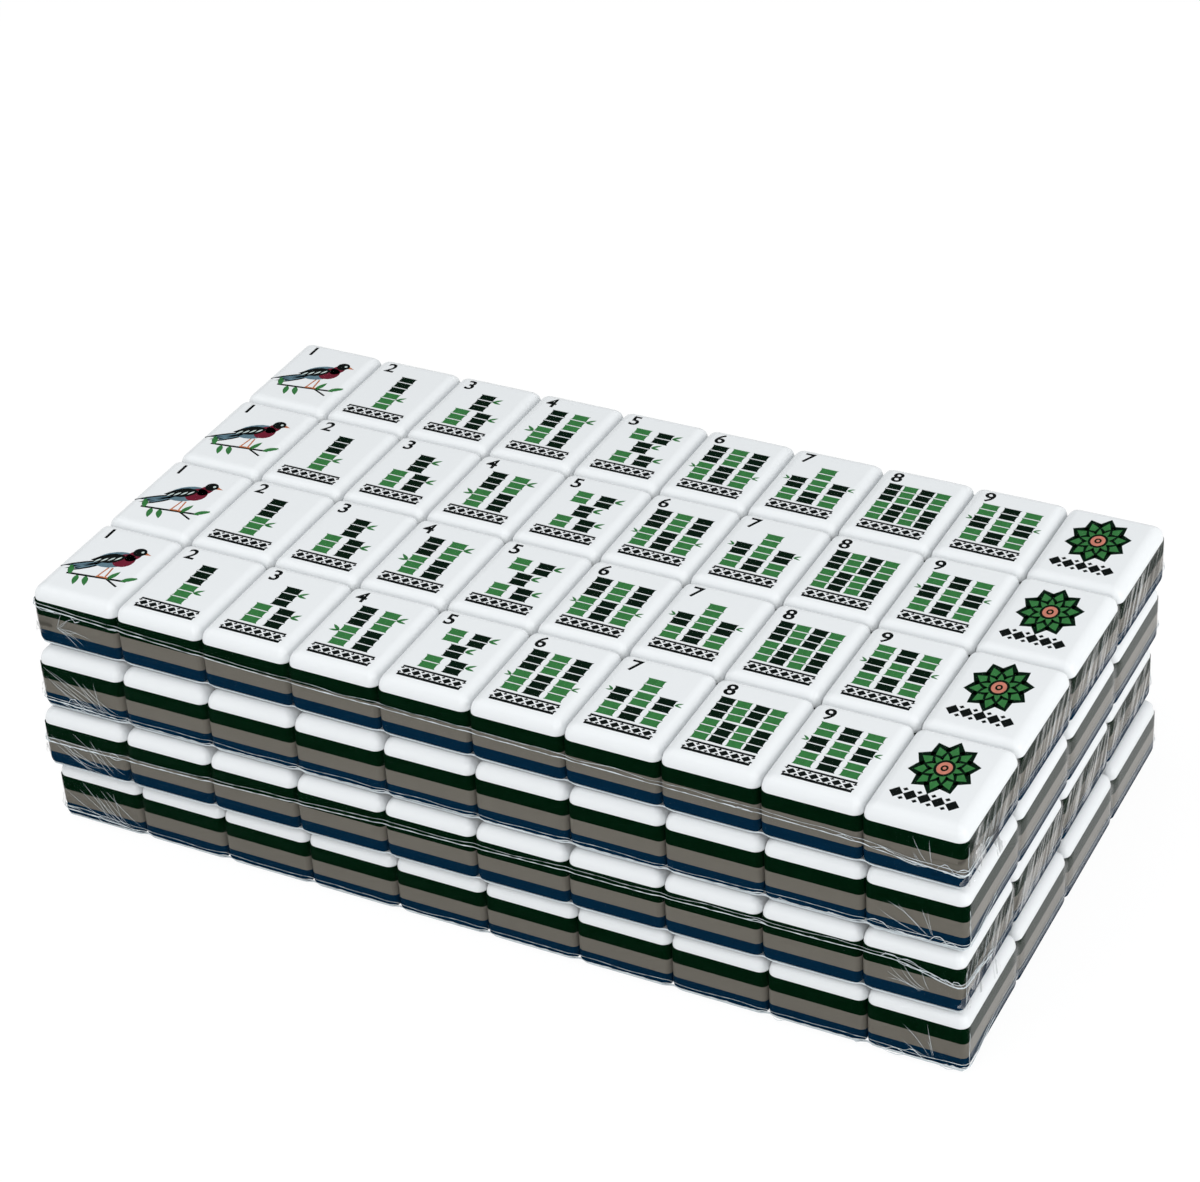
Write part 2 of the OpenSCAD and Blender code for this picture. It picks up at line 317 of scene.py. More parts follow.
def shrink_film(name, grazing=1.0, most=0.4, haze=0.0, drawn=False, crumple=0.0):
    """Blown polyolefin film, heat-shrunk tight: nearly unseen straight on, a bright sheen where it is
    seen along its face. Shrinking leaves ripples. Where it gathers, slanting streaks stand for its
    folds: a painted highlight strengthens the sheen on one side of each, and a painted shade darkens
    the light let through on the other. Grazing is the sheen's strength, most its limit, haze its
    least, and crumple the depth of the creases in mm."""
    material, tree = new_material(name)
    place = add(tree, "ShaderNodeTexCoord").outputs["Object"]
    # Ripples a few millimetres apart
    relief = add(tree, "ShaderNodeTexNoise", {"Vector": place, "Scale": per_mm(4), "Detail": 2.0})
    bump = add(tree, "ShaderNodeBump", {"Height": relief.outputs["Fac"], "Strength": 0.1,
                                        "Distance": 0.1 * MM})
    if crumple:
        # Small flat facets with sharp folds between them
        crushed = add(tree, "ShaderNodeTexVoronoi", {"Vector": place, "Scale": per_mm(3.2)})
        bump = add(tree, "ShaderNodeBump", {"Height": crushed.outputs["Distance"], "Strength": 1.0,
                                            "Distance": crumple * MM, "Normal": bump.outputs["Normal"]})
    facing = add(tree, "ShaderNodeLayerWeight", {"Blend": 0.5, "Normal": bump.outputs["Normal"]})
    steep = add(tree, "ShaderNodeMath", {0: facing.outputs["Facing"], 1: SHEEN_POWER},
                operation="POWER")
    sheen = add(tree, "ShaderNodeMath", {0: steep.outputs[0], 1: grazing, 2: haze},
                operation="MULTIPLY_ADD")
    let_through = (1, 1, 1, 1)
    # Painted highlight and painted shade: a slanting pattern, not the folds' shape, strengthens the sheen
    # on some streaks and darkens the light let through on others
    if drawn:
        slant = add(tree, "ShaderNodeMapping",
                    {"Vector": place, "Rotation": (math.radians(STREAK_SLANT), 0, 0),
                     "Scale": (1, STREAK_W * MM, STREAK_L * MM)}, vector_type="TEXTURE")
        fold = add(tree, "ShaderNodeTexNoise", {"Vector": slant.outputs["Vector"], "Scale": 1.0,
                                                "Detail": 1.5, "Roughness": 0.5}).outputs["Fac"]
        # Painted highlight: the sheen is raised on the bright side of each streak
        highlight_streaks = add(tree, "ShaderNodeMapRange", {"Value": fold, "From Min": 0.48, "From Max": 0.66,
                                                 "To Min": 0.45, "To Max": 2.8})
        sheen = add(tree, "ShaderNodeMath", {0: sheen.outputs[0], 1: highlight_streaks.outputs["Result"]},
                    operation="MULTIPLY")
        # Painted shade: the light let through is darkened on the dark side of each streak
        dark = add(tree, "ShaderNodeMapRange", {"Value": fold, "From Min": 0.3, "From Max": 0.46,
                                                "To Min": 0.55, "To Max": 1.0})
        let_through = dark.outputs["Result"]
    clear_part = add(tree, "ShaderNodeBsdfTransparent", {"Color": let_through})
    sheen = add(tree, "ShaderNodeMath", {0: sheen.outputs[0], 1: most}, operation="MINIMUM")
    gloss = add(tree, "ShaderNodeBsdfGlossy", {"Roughness": 0.08, "Normal": bump.outputs["Normal"]})
    mixed = add(tree, "ShaderNodeMixShader", {0: sheen.outputs[0], 1: clear_part.outputs[0],
                                              2: gloss.outputs[0]})
    add(tree, "ShaderNodeOutputMaterial", {"Surface": mixed.outputs[0]})
    return material


def creased_film(name, alpha):
    """The same film where it is welded or creased sharply, shown as a pale, partly opaque white: partly
    the film's real whitening there, partly a painted highlight for the glints along welds and creases.
    """
    material, tree = new_material(name)
    shader = add(tree, "ShaderNodeBsdfPrincipled",
                 {"Base Color": srgb("#dfe8ec") + (1,), "Roughness": 0.12, "Alpha": alpha,
                  "Specular IOR Level": 0.8})
    add(tree, "ShaderNodeOutputMaterial", {"Surface": shader.outputs["BSDF"]})
    return material


def materials():
    """Every finish, made once."""
    if "Clear shrink film" not in bpy.data.materials:
        c = bpy.context.scene.stack_colours
        melamine("White melamine", tuple(c.white), roughness=0.2, mottle=0.008, specular=0.15)
        melamine("Green melamine", tuple(c.green), mottle=0.3)
        melamine("Grey melamine", tuple(c.grey), mottle=0.07, specular=0.025)
        melamine("Blue melamine", tuple(c.blue), mottle=0.15)
        for paint in PAINTS:
            brushed_paint("Brushed paint " + paint, tuple(getattr(c, "paint_" + paint)))
        shrink_film("Clear shrink film")
        # The streaked films carry painted highlight and painted shade streaks; the welded and creased
        # films are pale white, partly real whitening and partly painted glints and highlights
        shrink_film("Drawn shrink film", most=0.55, drawn=True)
        shrink_film("Gathered shrink film", most=0.65, drawn=True, crumple=0.35)
        shrink_film("Crumpled shrink film", grazing=1.4, most=0.65, haze=0.12, drawn=True, crumple=0.5)
        shrink_film("Taut shrink film", grazing=0.12, most=0.03)
        creased_film("Welded film", 0.85)
        creased_film("Creased film", 0.28)
    return bpy.data.materials


# ---------------------------------------------------------------- tiles

# Flats on the roundings of the faces' edges, of the upright corners and of the backs' edges
FACE_FLATS, CORNER_FLATS, BACK_FLATS = 5, 5, 3
# A face's upright corners have this share of the radius of its edges
FACE_CORNER_SHARE = 0.75
# Two places nearer than this in mm are the same place
SAME = 0.01
# Edges sharper than this in degrees stay sharp on the tiles, and on the film
TILE_ANGLE, FILM_ANGLE = 40, 60


def slab(s, thickness, z):
    """One layer of a tile: a block with round upright corners."""
    clear()
    bpy.ops.mesh.primitive_cube_add(size=1, location=(0, 0, z + thickness / 2),
                                    scale=(s["tile_w"], s["tile_l"], thickness))
    bpy.ops.object.transform_apply(location=True, rotation=True, scale=True)
    return bpy.context.view_layer.objects.active


def upright(a, b):
    """Whether the edge between two corners stands upright."""
    return abs(a.z - b.z) > SAME and (a - b).xy.length < SAME


def face_layer(s):
    """The white layer: its face's edges are well rounded, its upright corners a little less."""
    z = s["blue_t"] + s["grey_t"] + s["green_t"]
    top = z + s["white_t"]
    obj = slab(s, s["white_t"], z)
    weights = obj.data.attributes.new("bevel_weight_edge", "FLOAT", "EDGE").data
    for edge in obj.data.edges:
        a, b = (obj.data.vertices[i].co for i in edge.vertices)
        if min(a.z, b.z) > top - SAME:
            weights[edge.index].value = 1
        elif upright(a, b):
            weights[edge.index].value = FACE_CORNER_SHARE
    modify(obj, "BEVEL", limit_method="WEIGHT", offset_type="OFFSET", width=s["face_r"],
           segments=FACE_FLATS, profile=0.5, use_clamp_overlap=False)
    return obj


def middle_layer(s, thickness, z):
    obj = slab(s, thickness, z)
    bevel_edges(obj, upright, s["corner_r"], CORNER_FLATS)
    return obj


def back_layer(s):
    obj = middle_layer(s, s["blue_t"], 0)
    bevel_edges(obj, lambda a, b: max(a.z, b.z) < SAME, s["back_r"], BACK_FLATS)
    return obj


def soften(obj):
    """Smooth shading whose flat faces stay flat."""
    smooth(obj, TILE_ANGLE)
    modify(obj, "WEIGHTED_NORMAL", keep_sharp=True)


def column_x(s, column):
    return (column + 0.5 - KINDS / 2) * (s["tile_w"] + s["tile_gap"])


def first_row_y(s):
    return (0.5 - ROWS / 2) * (s["tile_l"] + s["tile_gap"])


def fill_pack(obj, s):
    """Repeats the tile at the middle over the whole pack."""
    shift(obj, column_x(s, 0), first_row_y(s))
    repeat(obj, KINDS, (s["tile_w"] + s["tile_gap"], 0, 0))
    repeat(obj, ROWS, (0, s["tile_l"] + s["tile_gap"], 0))


def fill_column(obj, s, column):
    """Repeats the tile at the middle over one column of the pack."""
    shift(obj, column_x(s, column), first_row_y(s))
    repeat(obj, ROWS, (0, s["tile_l"] + s["tile_gap"], 0))


class TILES_OT_layers(bpy.types.Operator):
    """Lay the green, grey and blue melamine layers of all the tiles"""
    bl_idname = "tiles.layers"
    bl_label = "Lay tile layers"

    def execute(self, context):
        s = sizes()
        grey_z = s["blue_t"]
        green_z = grey_z + s["grey_t"]
        made = {
            "green": (middle_layer(s, s["green_t"], green_z), "green_layers"),
            "grey": (middle_layer(s, s["grey_t"], grey_z), "grey_layers"),
            "blue": (back_layer(s), "blue_backs"),
        }
        for shade, (pattern, node) in made.items():
            soften(pattern)
            fill_pack(pattern, s)
            for level, suit in enumerate(SUITS):
                layer = duplicate(pattern)
                layer.name = "%s_%s_melamine" % (suit, shade)
                finish_piece(layer, level,
                             materials()[shade.capitalize() + " melamine"], ["%s_%s" % (suit, node)])
            remove(pattern)
        return {"FINISHED"}


# ---------------------------------------------------------------- pictures
# A picture is a list of flat outlines: the paint, its tier (a higher one lies over a lower one) and
# its points in millimetres from the tile's middle, X to the right and Y to the head.

# Size of a circle by how many a tile has
DOT_SIZES = {1: 11, 2: 7, 3: 6, 4: 4.6, 5: 4.6, 6: 4.6, 7: 4.1, 8: 4.1, 9: 4.1}
# The way each wind's arrow points, in degrees, by its column
WIND_TURNS = {0: 270, 1: 180, 2: 90, 3: 0}
# Canes in each row from the foot up, for the kinds 2 to 9
CANE_ROWS = [[1, 1], [2, 1], [2, 2], [2, 1, 2], [3, 3], [3, 3, 1], [4, 4], [3, 3, 3]]
# Which way each cane of kind 8 leans
EIGHT_LEANS = [[0, -1, 1, 0], [0, 1, -1, 0]]
# From one cane to the next by the number in a row, in shares of the field's width
SPREADS = [0, 0, 0.42, 0.37, 0.28]
FIELD_W, FIELD_L, FIELD_X, FIELD_DROP = 14, 15.4, 0.3, 0.1
CANE_W, SLIM_CANE_W, CANE_GAP, CANE_LEAN = 3.7, 3, 0.5, 2
# How much wider the paint of a cane is than its clean core
BRUSHED_OUT = 0.8
# A cane longer than this has three joints; the bare line between two joints, and a joint's waist
LONG_CANE, BARE_LINE, WAIST = 7, 0.22, 0.86
# The border at a tile's foot: its length and the pitch of its lozenges
FRIEZE_W, LOZENGE_PITCH = 15.4, 2.5


def turned(points, degrees, x=0, y=0):
    c, s = math.cos(math.radians(degrees)), math.sin(math.radians(degrees))
    return [(x + px * c - py * s, y + px * s + py * c) for px, py in points]


def oval(x, y, w, h, turn=0, sides=20):
    return turned([(w / 2 * math.cos(2 * math.pi * i / sides), h / 2 * math.sin(2 * math.pi * i / sides))
                   for i in range(sides)], turn, x, y)


def leaf(x, y, w, h, turn=0):
    """A pointed leaf whose stalk end is at x, y and which grows along +Y before its turn."""
    half = [(0, 0), (0.3, 0.12), (0.48, 0.3), (0.5, 0.48), (0.34, 0.74), (0, 1)]
    points = [(a * w, b * h) for a, b in half] + [(-a * w, b * h) for a, b in half[-2:0:-1]]
    return turned(points, turn, x, y)


def bar(x, y, w, h, turn=0):
    return turned([(-w / 2, -h / 2), (w / 2, -h / 2), (w / 2, h / 2), (-w / 2, h / 2)], turn, x, y)


def lozenge(x, y, w, h, turn=0):
    return turned([(0, -h / 2), (w / 2, 0), (0, h / 2), (-w / 2, 0)], turn, x, y)


def cane(x, y, width, long, lean, shade):
    """A cane of two or three joints, each a little waisted, with a bare line between them."""
    joints = 3 if long > LONG_CANE else 2
    part = (long - (joints - 1) * BARE_LINE) / joints
    made = []
    for i in range(joints):
        middle = -long / 2 + part / 2 + i * (part + BARE_LINE)
        h, w = part / 2, width / 2
        points = [(-w, -h), (w, -h), (w * WAIST, -h * 0.6), (w * WAIST, h * 0.6), (w, h), (-w, h),
                  (-w * WAIST, h * 0.6), (-w * WAIST, -h * 0.6)]
        points = [(px, py + middle) for px, py in points]
        made.append((shade, 0, turned(points, lean, x, y)))
    return made


def sprig(x, y, side, size=1.0):
    """Two small leaves at a cane's joint."""
    return [("green", 1, leaf(x, y, 0.75 * size, 2.5 * size, -side * 52)),
            ("green", 1, leaf(x, y, 0.7 * size, 2.2 * size, -side * 98))]


def frieze():
    """A border of lozenges between two lines, at the foot of a tile."""
    made = [("ink", 0, bar(FIELD_X, y, FRIEZE_W, high)) for y, high in ((-8.75, 0.7), (-11.7, 0.9))]
    made += [("ink", 0, lozenge(FIELD_X + (i - 2.5) * LOZENGE_PITCH, -10.2, 2.3, 2.1)) for i in range(6)]
    return made + [("ink", 0, lozenge(FIELD_X + (i - 3) * LOZENGE_PITCH, y, 1.1, 0.8))
                   for i in range(7) for y in (-9.4, -10.95)]


def cane_picture(count):
    """The canes of one kind, with a sprig at every other outer one, over the border."""
    rows = CANE_ROWS[count - 2]
    row_pitch = (FIELD_L + CANE_GAP) / len(rows)
    made = frieze()
    for row, across in enumerate(rows):
        y = (row + 0.5) * row_pitch - (FIELD_L + CANE_GAP) / 2 - FIELD_DROP
        width = (SLIM_CANE_W if across == 4 else CANE_W) + BRUSHED_OUT
        for i in range(across):
            x = FIELD_X + (i - (across - 1) / 2) * SPREADS[across] * FIELD_W
            lean = EIGHT_LEANS[row][i] * CANE_LEAN if count == 8 else 0
            made += cane(x, y, width, row_pitch - CANE_GAP, lean, ("green", "dark")[(row + i) % 2])
            outer = i in (0, across - 1)
            if outer and (count + row + i) % 2 == 0 and across < 4:
                side = -1 if i == 0 and across > 1 else 1
                made += sprig(x + side * width * 0.45, y + (row_pitch - CANE_GAP) * 0.17, side,
                              1.15 if across < 3 else 0.8)
    return made


def bird_picture():
    """A small plain songbird on a twig, seen from its side."""
    made = [("ink", 0, bar(0.3, -4.9, 11.4, 0.55, 7)), ("ink", 0, bar(3.6, -5.3, 3.6, 0.4, -24))]
    for x, turn in ((-4.6, 30), (-1.6, -150), (2.4, -20), (4.9, -50), (-3.2, 200)):
        made.append(("green", 1, leaf(x, -5.0 + (x - 0.3) * 0.12, 1.1, 2.9, turn)))
    for turn, long in ((118, 8.0), (126, 7.4), (134, 6.6)):
        made.append(("ink", 0, leaf(-0.6, -0.4, 1.3, long, turn)))
        made.append(("slate", 1, leaf(-1.4, -0.9, 0.6, long * 0.72, turn)))
    made += [
        ("slate", 1, oval(0.2, 0.5, 7.0, 4.6, 28)),
        ("wine", 2, oval(1.9, 0.9, 4.0, 3.9, 40)),
        ("wine", 2, oval(2.7, 2.6, 2.5, 3.4, -20)),
        ("ink", 3, leaf(1.7, 1.9, 2.7, 6.2, 118)),
        ("ink", 3, oval(3.1, 3.9, 2.5, 2.3, 0)),
        ("orange", 2, [(4.1, 4.3), (5.6, 3.7), (4.1, 3.4)]),
        ("pale", 4, oval(3.5, 4.1, 0.55, 0.55, 0, 10)),
        ("orange", 0, bar(0.5, -3.2, 0.36, 3.0, -8)),
        ("orange", 0, bar(1.6, -3.1, 0.36, 3.0, 6)),
        ("orange", 1, bar(0.7, -4.5, 1.3, 0.3, 7)),
        ("orange", 1, bar(1.9, -4.4, 1.3, 0.3, 7)),
    ]
    for i in range(4):
        made.append(("pale", 4, leaf(1.0 - i * 1.05, 1.65 - i * 0.55, 0.34, 1.5, 150)))
    return stretched(made, 1.32, 1.4, 0.4, 0.9)


def stretched(made, wide, tall, x, y):
    """The same outlines drawn wider and taller, with their zero at x, y."""
    return [(paint, tier, [(x + px * wide, y + py * tall) for px, py in points])
            for paint, tier, points in made]


def rosette_picture():
    """A medallion of leaves with a clay-coloured middle, over a heavy row of lozenges."""
    made = []
    for first, (wide, long), (inner_wide, inner_long) in ((0, (5.2, 7.6), (2.9, 6.3)),
                                                          (2, (2.9, 4.9), (1.5, 4.1))):
        for i in range(10):
            turn = i * 36 + first * 9
            made.append(("dark", first, leaf(0, 0, wide, long, turn)))
            made.append(("green", first + 1, leaf(0, 0, inner_wide, inner_long, turn)))
    made += [("dark", 4, oval(0, 0, 4.6, 4.6)), ("terracotta", 5, oval(0, 0, 3.4, 3.4)),
             ("dark", 6, oval(0, 0, 1.7, 1.7, 0, 12)), ("terracotta", 7, oval(0, 0, 0.8, 0.8, 0, 10))]
    x = -0.4
    made = stretched(made, 0.95, 1.22, x, 2.6)
    made += [("ink", 0, lozenge(x + (i - 2) * 3, -8.2, 3.1, 3.6)) for i in range(5)]
    return made + [("ink", 0, lozenge(x + (i - 1.5) * 3, y, 1.3, 1.3))
                   for i in range(4) for y in (-9.7, -6.7)]


DOTS = {1: [(0, 0)], 2: [(0, 5), (0, -5)], 3: [(-4.5, 6), (0, 0), (4.5, -6)]}
DOTS[4] = [(x, y) for x in (-3.8, 3.8) for y in (-5, 5)]
DOTS[5] = DOTS[4] + [(0, 0)]
DOTS[6] = [(x, y) for x in (-3.6, 3.6) for y in (-6, 0, 6)]
DOTS[7] = [(x, y) for x in (-3.2, 3.2) for y in (-7, -2.6)] + [(-4.8, 7.4), (0, 5.2), (4.8, 3)]
DOTS[8] = [(x, y) for x in (-3.2, 3.2) for y in (-7.2, -2.4, 2.4, 7.2)]
DOTS[9] = [(x, y) for x in (-4.6, 0, 4.6) for y in (-6.4, 0, 6.4)]


def dot_picture(count):
    size = DOT_SIZES[count]
    made = []
    for i, (x, y) in enumerate(DOTS[count]):
        rings = [("ink", 1, 20), (("green", "wine", "blue")[i % 3], 0.72, 20), ("pale", 0.26, 12)]
        made += [(paint, tier, oval(x + 0.6, y - 1, size * share, size * share, 0, sides))
                 for tier, (paint, share, sides) in enumerate(rings)]
    return made


def lozenge_row(y, paint="blue"):
    return [(paint, 0, lozenge(0.4 + (i - 2) * 2.5, y, 2.2, 2.2)) for i in range(5)]


def arrow_picture(turn):
    return [("ink", 0, turned([(-0.7, -6), (0.7, -6), (0.7, 2.2), (-0.7, 2.2)], turn)),
            ("ink", 0, turned([(-3, 2.2), (3, 2.2), (0, 7)], turn)),
            ("blue", 1, oval(0, 0, 3.4, 3.4))]


def blossom_picture():
    made = [("dark", 0, bar(-0.6, -5.2, 0.6, 8, -12)),
            ("green", 0, leaf(-0.4, -6, 2.2, 5, 60)), ("green", 0, leaf(-0.6, -4.4, 2.2, 5, -60))]
    made += [("wine", 1, oval(2.6 * math.sin(i * 1.2566), 3 + 2.6 * math.cos(i * 1.2566), 3.6, 3.6))
             for i in range(5)]
    return made + [("orange", 2, oval(0, 3, 2.6, 2.6))]


def star_picture():
    points = [(reach * math.sin(i * math.pi / 5), reach * math.cos(i * math.pi / 5))
              for i, reach in enumerate([6.4, 2.7] * 5)]
    return [("blue", 0, points), ("wine", 1, oval(0, 0, 3, 3))] + lozenge_row(-9, "ink")


def frame_picture():
    sides = [bar(0, 9, 13, 1.2), bar(0, -9, 13, 1.2), bar(-5.9, 0, 1.2, 18), bar(5.9, 0, 1.2, 18)]
    inner = [bar(0, 7.2, 9, 0.5), bar(0, -7.2, 9, 0.5), bar(-4.3, 0, 0.5, 14.4), bar(4.3, 0, 0.5, 14.4)]
    return [("blue", 0, points) for points in sides] + [("ink", 0, points) for points in inner]


def red_rosette_picture():
    made = [("wine", 0, leaf(0.4, 1, 2.6, 6.2, i * 45)) for i in range(8)]
    return made + [("ink", 1, oval(0.4, 1, 3, 3))] + lozenge_row(-8.4, "wine")


def picture(level, column):
    """The outlines on one kind of tile, and its numeral if it has one."""
    number = column + 1
    if level == TOP:
        if column == 0:
            return bird_picture(), 1
        return (rosette_picture(), 0) if column == 9 else (cane_picture(number), number)
    if level == UPPER:
        return (frame_picture(), 0) if column == 9 else (dot_picture(number), number)
    if level == LOWER:
        return (red_rosette_picture(), 0) if column == 9 else (lozenge_row(-8.4), number)
    if column in WIND_TURNS:
        return arrow_picture(WIND_TURNS[column]), 0
    return {4: blossom_picture, 5: blossom_picture, 6: star_picture, 7: star_picture}.get(
        column, lambda: [])(), 0


def flat_faces(shapes):
    """Flat faces with these corners, as one object."""
    points = [(x, y, 0) for shape in shapes for x, y in shape]
    faces, start = [], 0
    for shape in shapes:
        faces.append(list(range(start, start + len(shape))))
        start += len(shape)
    data = bpy.data.meshes.new("paint")
    data.from_pydata(points, [], faces)
    obj = bpy.data.objects.new("paint", data)
    bpy.context.collection.objects.link(obj)
    return obj


# How much a numeral's strokes are thickened, as a share of its size
STROKE_SHARE = 0.028
# Place and size of a numeral by a tile's upper left corner, and over its middle
CORNER_NUMERAL, MIDDLE_NUMERAL = (-6.5, 10.1, 5.4), (0.6, 1.4, 15)


def numeral(number, x, y, size):
    """A plain numeral as flat faces."""
    clear()
    bpy.ops.object.text_add(location=(0, 0, 0))
    obj = bpy.context.view_layer.objects.active
    obj.data.body = str(number)
    obj.data.size = size
    obj.data.align_x = "CENTER"
    obj.data.align_y = "CENTER"
    obj.data.resolution_u = 3
    obj.data.offset = STROKE_SHARE * size
    bpy.ops.object.convert(target="MESH")
    obj = bpy.context.view_layer.objects.active
    shift(obj, x, y)
    return obj


def raise_flat(obj, z, height):
    """Stands flat faces up as plates from z to z + height."""
    shift(obj, 0, 0, z)
    select([obj])
    bpy.ops.object.mode_set(mode="EDIT")
    bpy.ops.mesh.select_all(action="SELECT")
    bpy.ops.mesh.extrude_region_move(TRANSFORM_OT_translate={"value": (0, 0, height)})
    bpy.ops.mesh.select_all(action="SELECT")
    bpy.ops.mesh.normals_make_consistent(inside=False)
    bpy.ops.object.mode_set(mode="OBJECT")
    return obj


# On a covered face: how deep the paint starts and how thick it is. Each tier is this much thicker.
COVERED_PAINT = (0.03, 0.05)
TIER_T = 0.008


def make_picture(s, level, column):
    """The plates of paint of one tile, by paint, and the cutter that engraves them."""
    outlines, number = picture(level, column)
    face = s["blue_t"] + s["grey_t"] + s["green_t"] + s["white_t"]
    shapes = {}
    for paint, tier, points in outlines:
        shapes.setdefault((paint, tier), []).append(points)
    flat = {key: flat_faces(group) for key, group in shapes.items()}
    if number:
        key = ("wine", 0) if level == LOWER else ("ink", 0)
        digits = numeral(number, *(MIDDLE_NUMERAL if level == LOWER else CORNER_NUMERAL))
        flat[key] = join([flat[key], digits], "paint") if key in flat else digits
    cutter = None
    if level == TOP and flat:
        copies = [duplicate(obj) for obj in flat.values()]
        cutter = raise_flat(join(copies, "engraving"), face - s["engraving"], 2 * s["engraving"])
    # Paint lies in the engraving on the top pack, and a little proud of the faces that stay covered.
    sunk, thickness = (s["engraving"], s["paint_t"]) if level == TOP else COVERED_PAINT
    plates = {}
    for (paint, tier), obj in sorted(flat.items(), key=lambda item: item[0]):
        plates.setdefault(paint, []).append(raise_flat(obj, face - sunk, thickness + TIER_T * tier))
    return {paint: join(made, "paint") for paint, made in plates.items()}, cutter


class TILES_OT_faces(bpy.types.Operator):
    """Make the white face layers, engraved in the top pack, and the paint in and on them"""
    bl_idname = "tiles.faces"
    bl_label = "Make engraved faces"

    def execute(self, context):
        s = sizes()
        blank = face_layer(s)
        for level in LEVELS:
            faces, paints = {}, {}
            for column, kind in enumerate(FACE_NODES[level]):
                plates, cutter = make_picture(s, level, column)
                tile = duplicate(blank)
                if cutter is not None:
                    modify(tile, "BOOLEAN", operation="DIFFERENCE", solver="EXACT", object=cutter,
                           use_self=True)
                    remove(cutter)
                soften(tile)
                fill_column(tile, s, column)
                faces.setdefault(kind, []).append(tile)
                for paint, plate in plates.items():
                    fill_column(plate, s, column)
                    paints.setdefault(paint, []).append(plate)
            for kind, tiles in faces.items():
                finish_piece(join(tiles, kind + "_white_melamine"), level,
                             materials()["White melamine"], [kind + "_faces"])
            for paint, plates in paints.items():
                nodes = {(TOP, "green"): ["bamboo_green_canes"],
                         (TOP, "dark"): ["bamboo_black_canes"]}.get((level, paint), [])
                finish_piece(join(plates, "%s_%s_paint" % (SUITS[level], paint)), level,
                             materials()["Brushed paint " + paint], nodes)
        remove(blank)
        return {"FINISHED"}


# ---------------------------------------------------------------- shrink film

def smoothstep(value):
    value = max(0.0, min(1.0, value))
    return value * value * (3 - 2 * value)


# The same folds come out each time; another seed gives others
FOLD_SEED = 31
# How much of the film skin is slack between the tiles and the film
SLACK_SHARE = 0.75
# A side is flat where its outward direction leans less than this to the other axis
FLAT = 0.05
# How far from a groove between tiles the film is drawn in, and how deep it sinks over the faces
GROOVE_REACH, GROOVE_SINK = 2.4, 0.5
# Points along a fold, a strand and a corner's fold, and steps up the flat part of the sides
FOLD_POINTS, STRAND_POINTS, CORNER_POINTS, SIDE_STEPS = 9, 8, 11, 15
# Steps round the film's rounded edge at the backs, and at the faces
BACK_STEPS, FACE_STEPS = 4, 6
# Folds on a pack: strain lines at the left end, or on the top pack a fan there; small folds up the
# right side, half of them by its corner; and lines that sweep away from the right corner
STRAIN_LINES, FAN_LINES, SIDE_FOLDS, SWEEP_LINES = 10, 8, 18, 6
# The highest end of a fan line, a side fold and a sweep line, and the highest place on a strand
FAN_TOP, SIDE_TOP, SWEEP_TOP, STRAND_TOP = 10.5, 11.8, 11, 11.5
# Radius of the weld, of the painted glints along it and of the painted highlights on the folds' crests
WELD_R, STRAND_R, CREST_R = 0.12, 0.09, 0.085
# From one place to the next round the sides: where the film is creased, by a corner, and elsewhere
CREASED_STEP, CORNER_STEP, PLAIN_STEP = 0.62, 0.9, 1.5
# How far the closest steps reach along the front from both its ends, and the corner steps from a corner
CREASED_END, CORNER_REACH = 26, 6
# From one point to the next along the weld, and along the pale line under it, which is partly painted
# light
WELD_STEP, PALE_LINE_STEP = 0.9, 0.8
# Height of the weld along the right side
SIDE_WELD = 4.0
# Height of the top pack's weld at shares of its front, from the left end to the right
TOP_WELD = [(0, 10.3), (0.1, 9.3), (0.2, 8.3), (0.3, 7.7), (0.6, 6.9), (0.88, 6.0), (0.95, 4.6), (1, 3.7)]


def between(table, value):
    """The table's second number at a value of its first, in straight steps."""
    for (a, low), (b, high) in zip(table, table[1:]):
        if value <= b:
            return low + (high - low) * max(0.0, value - a) / (b - a)
    return table[-1][1]


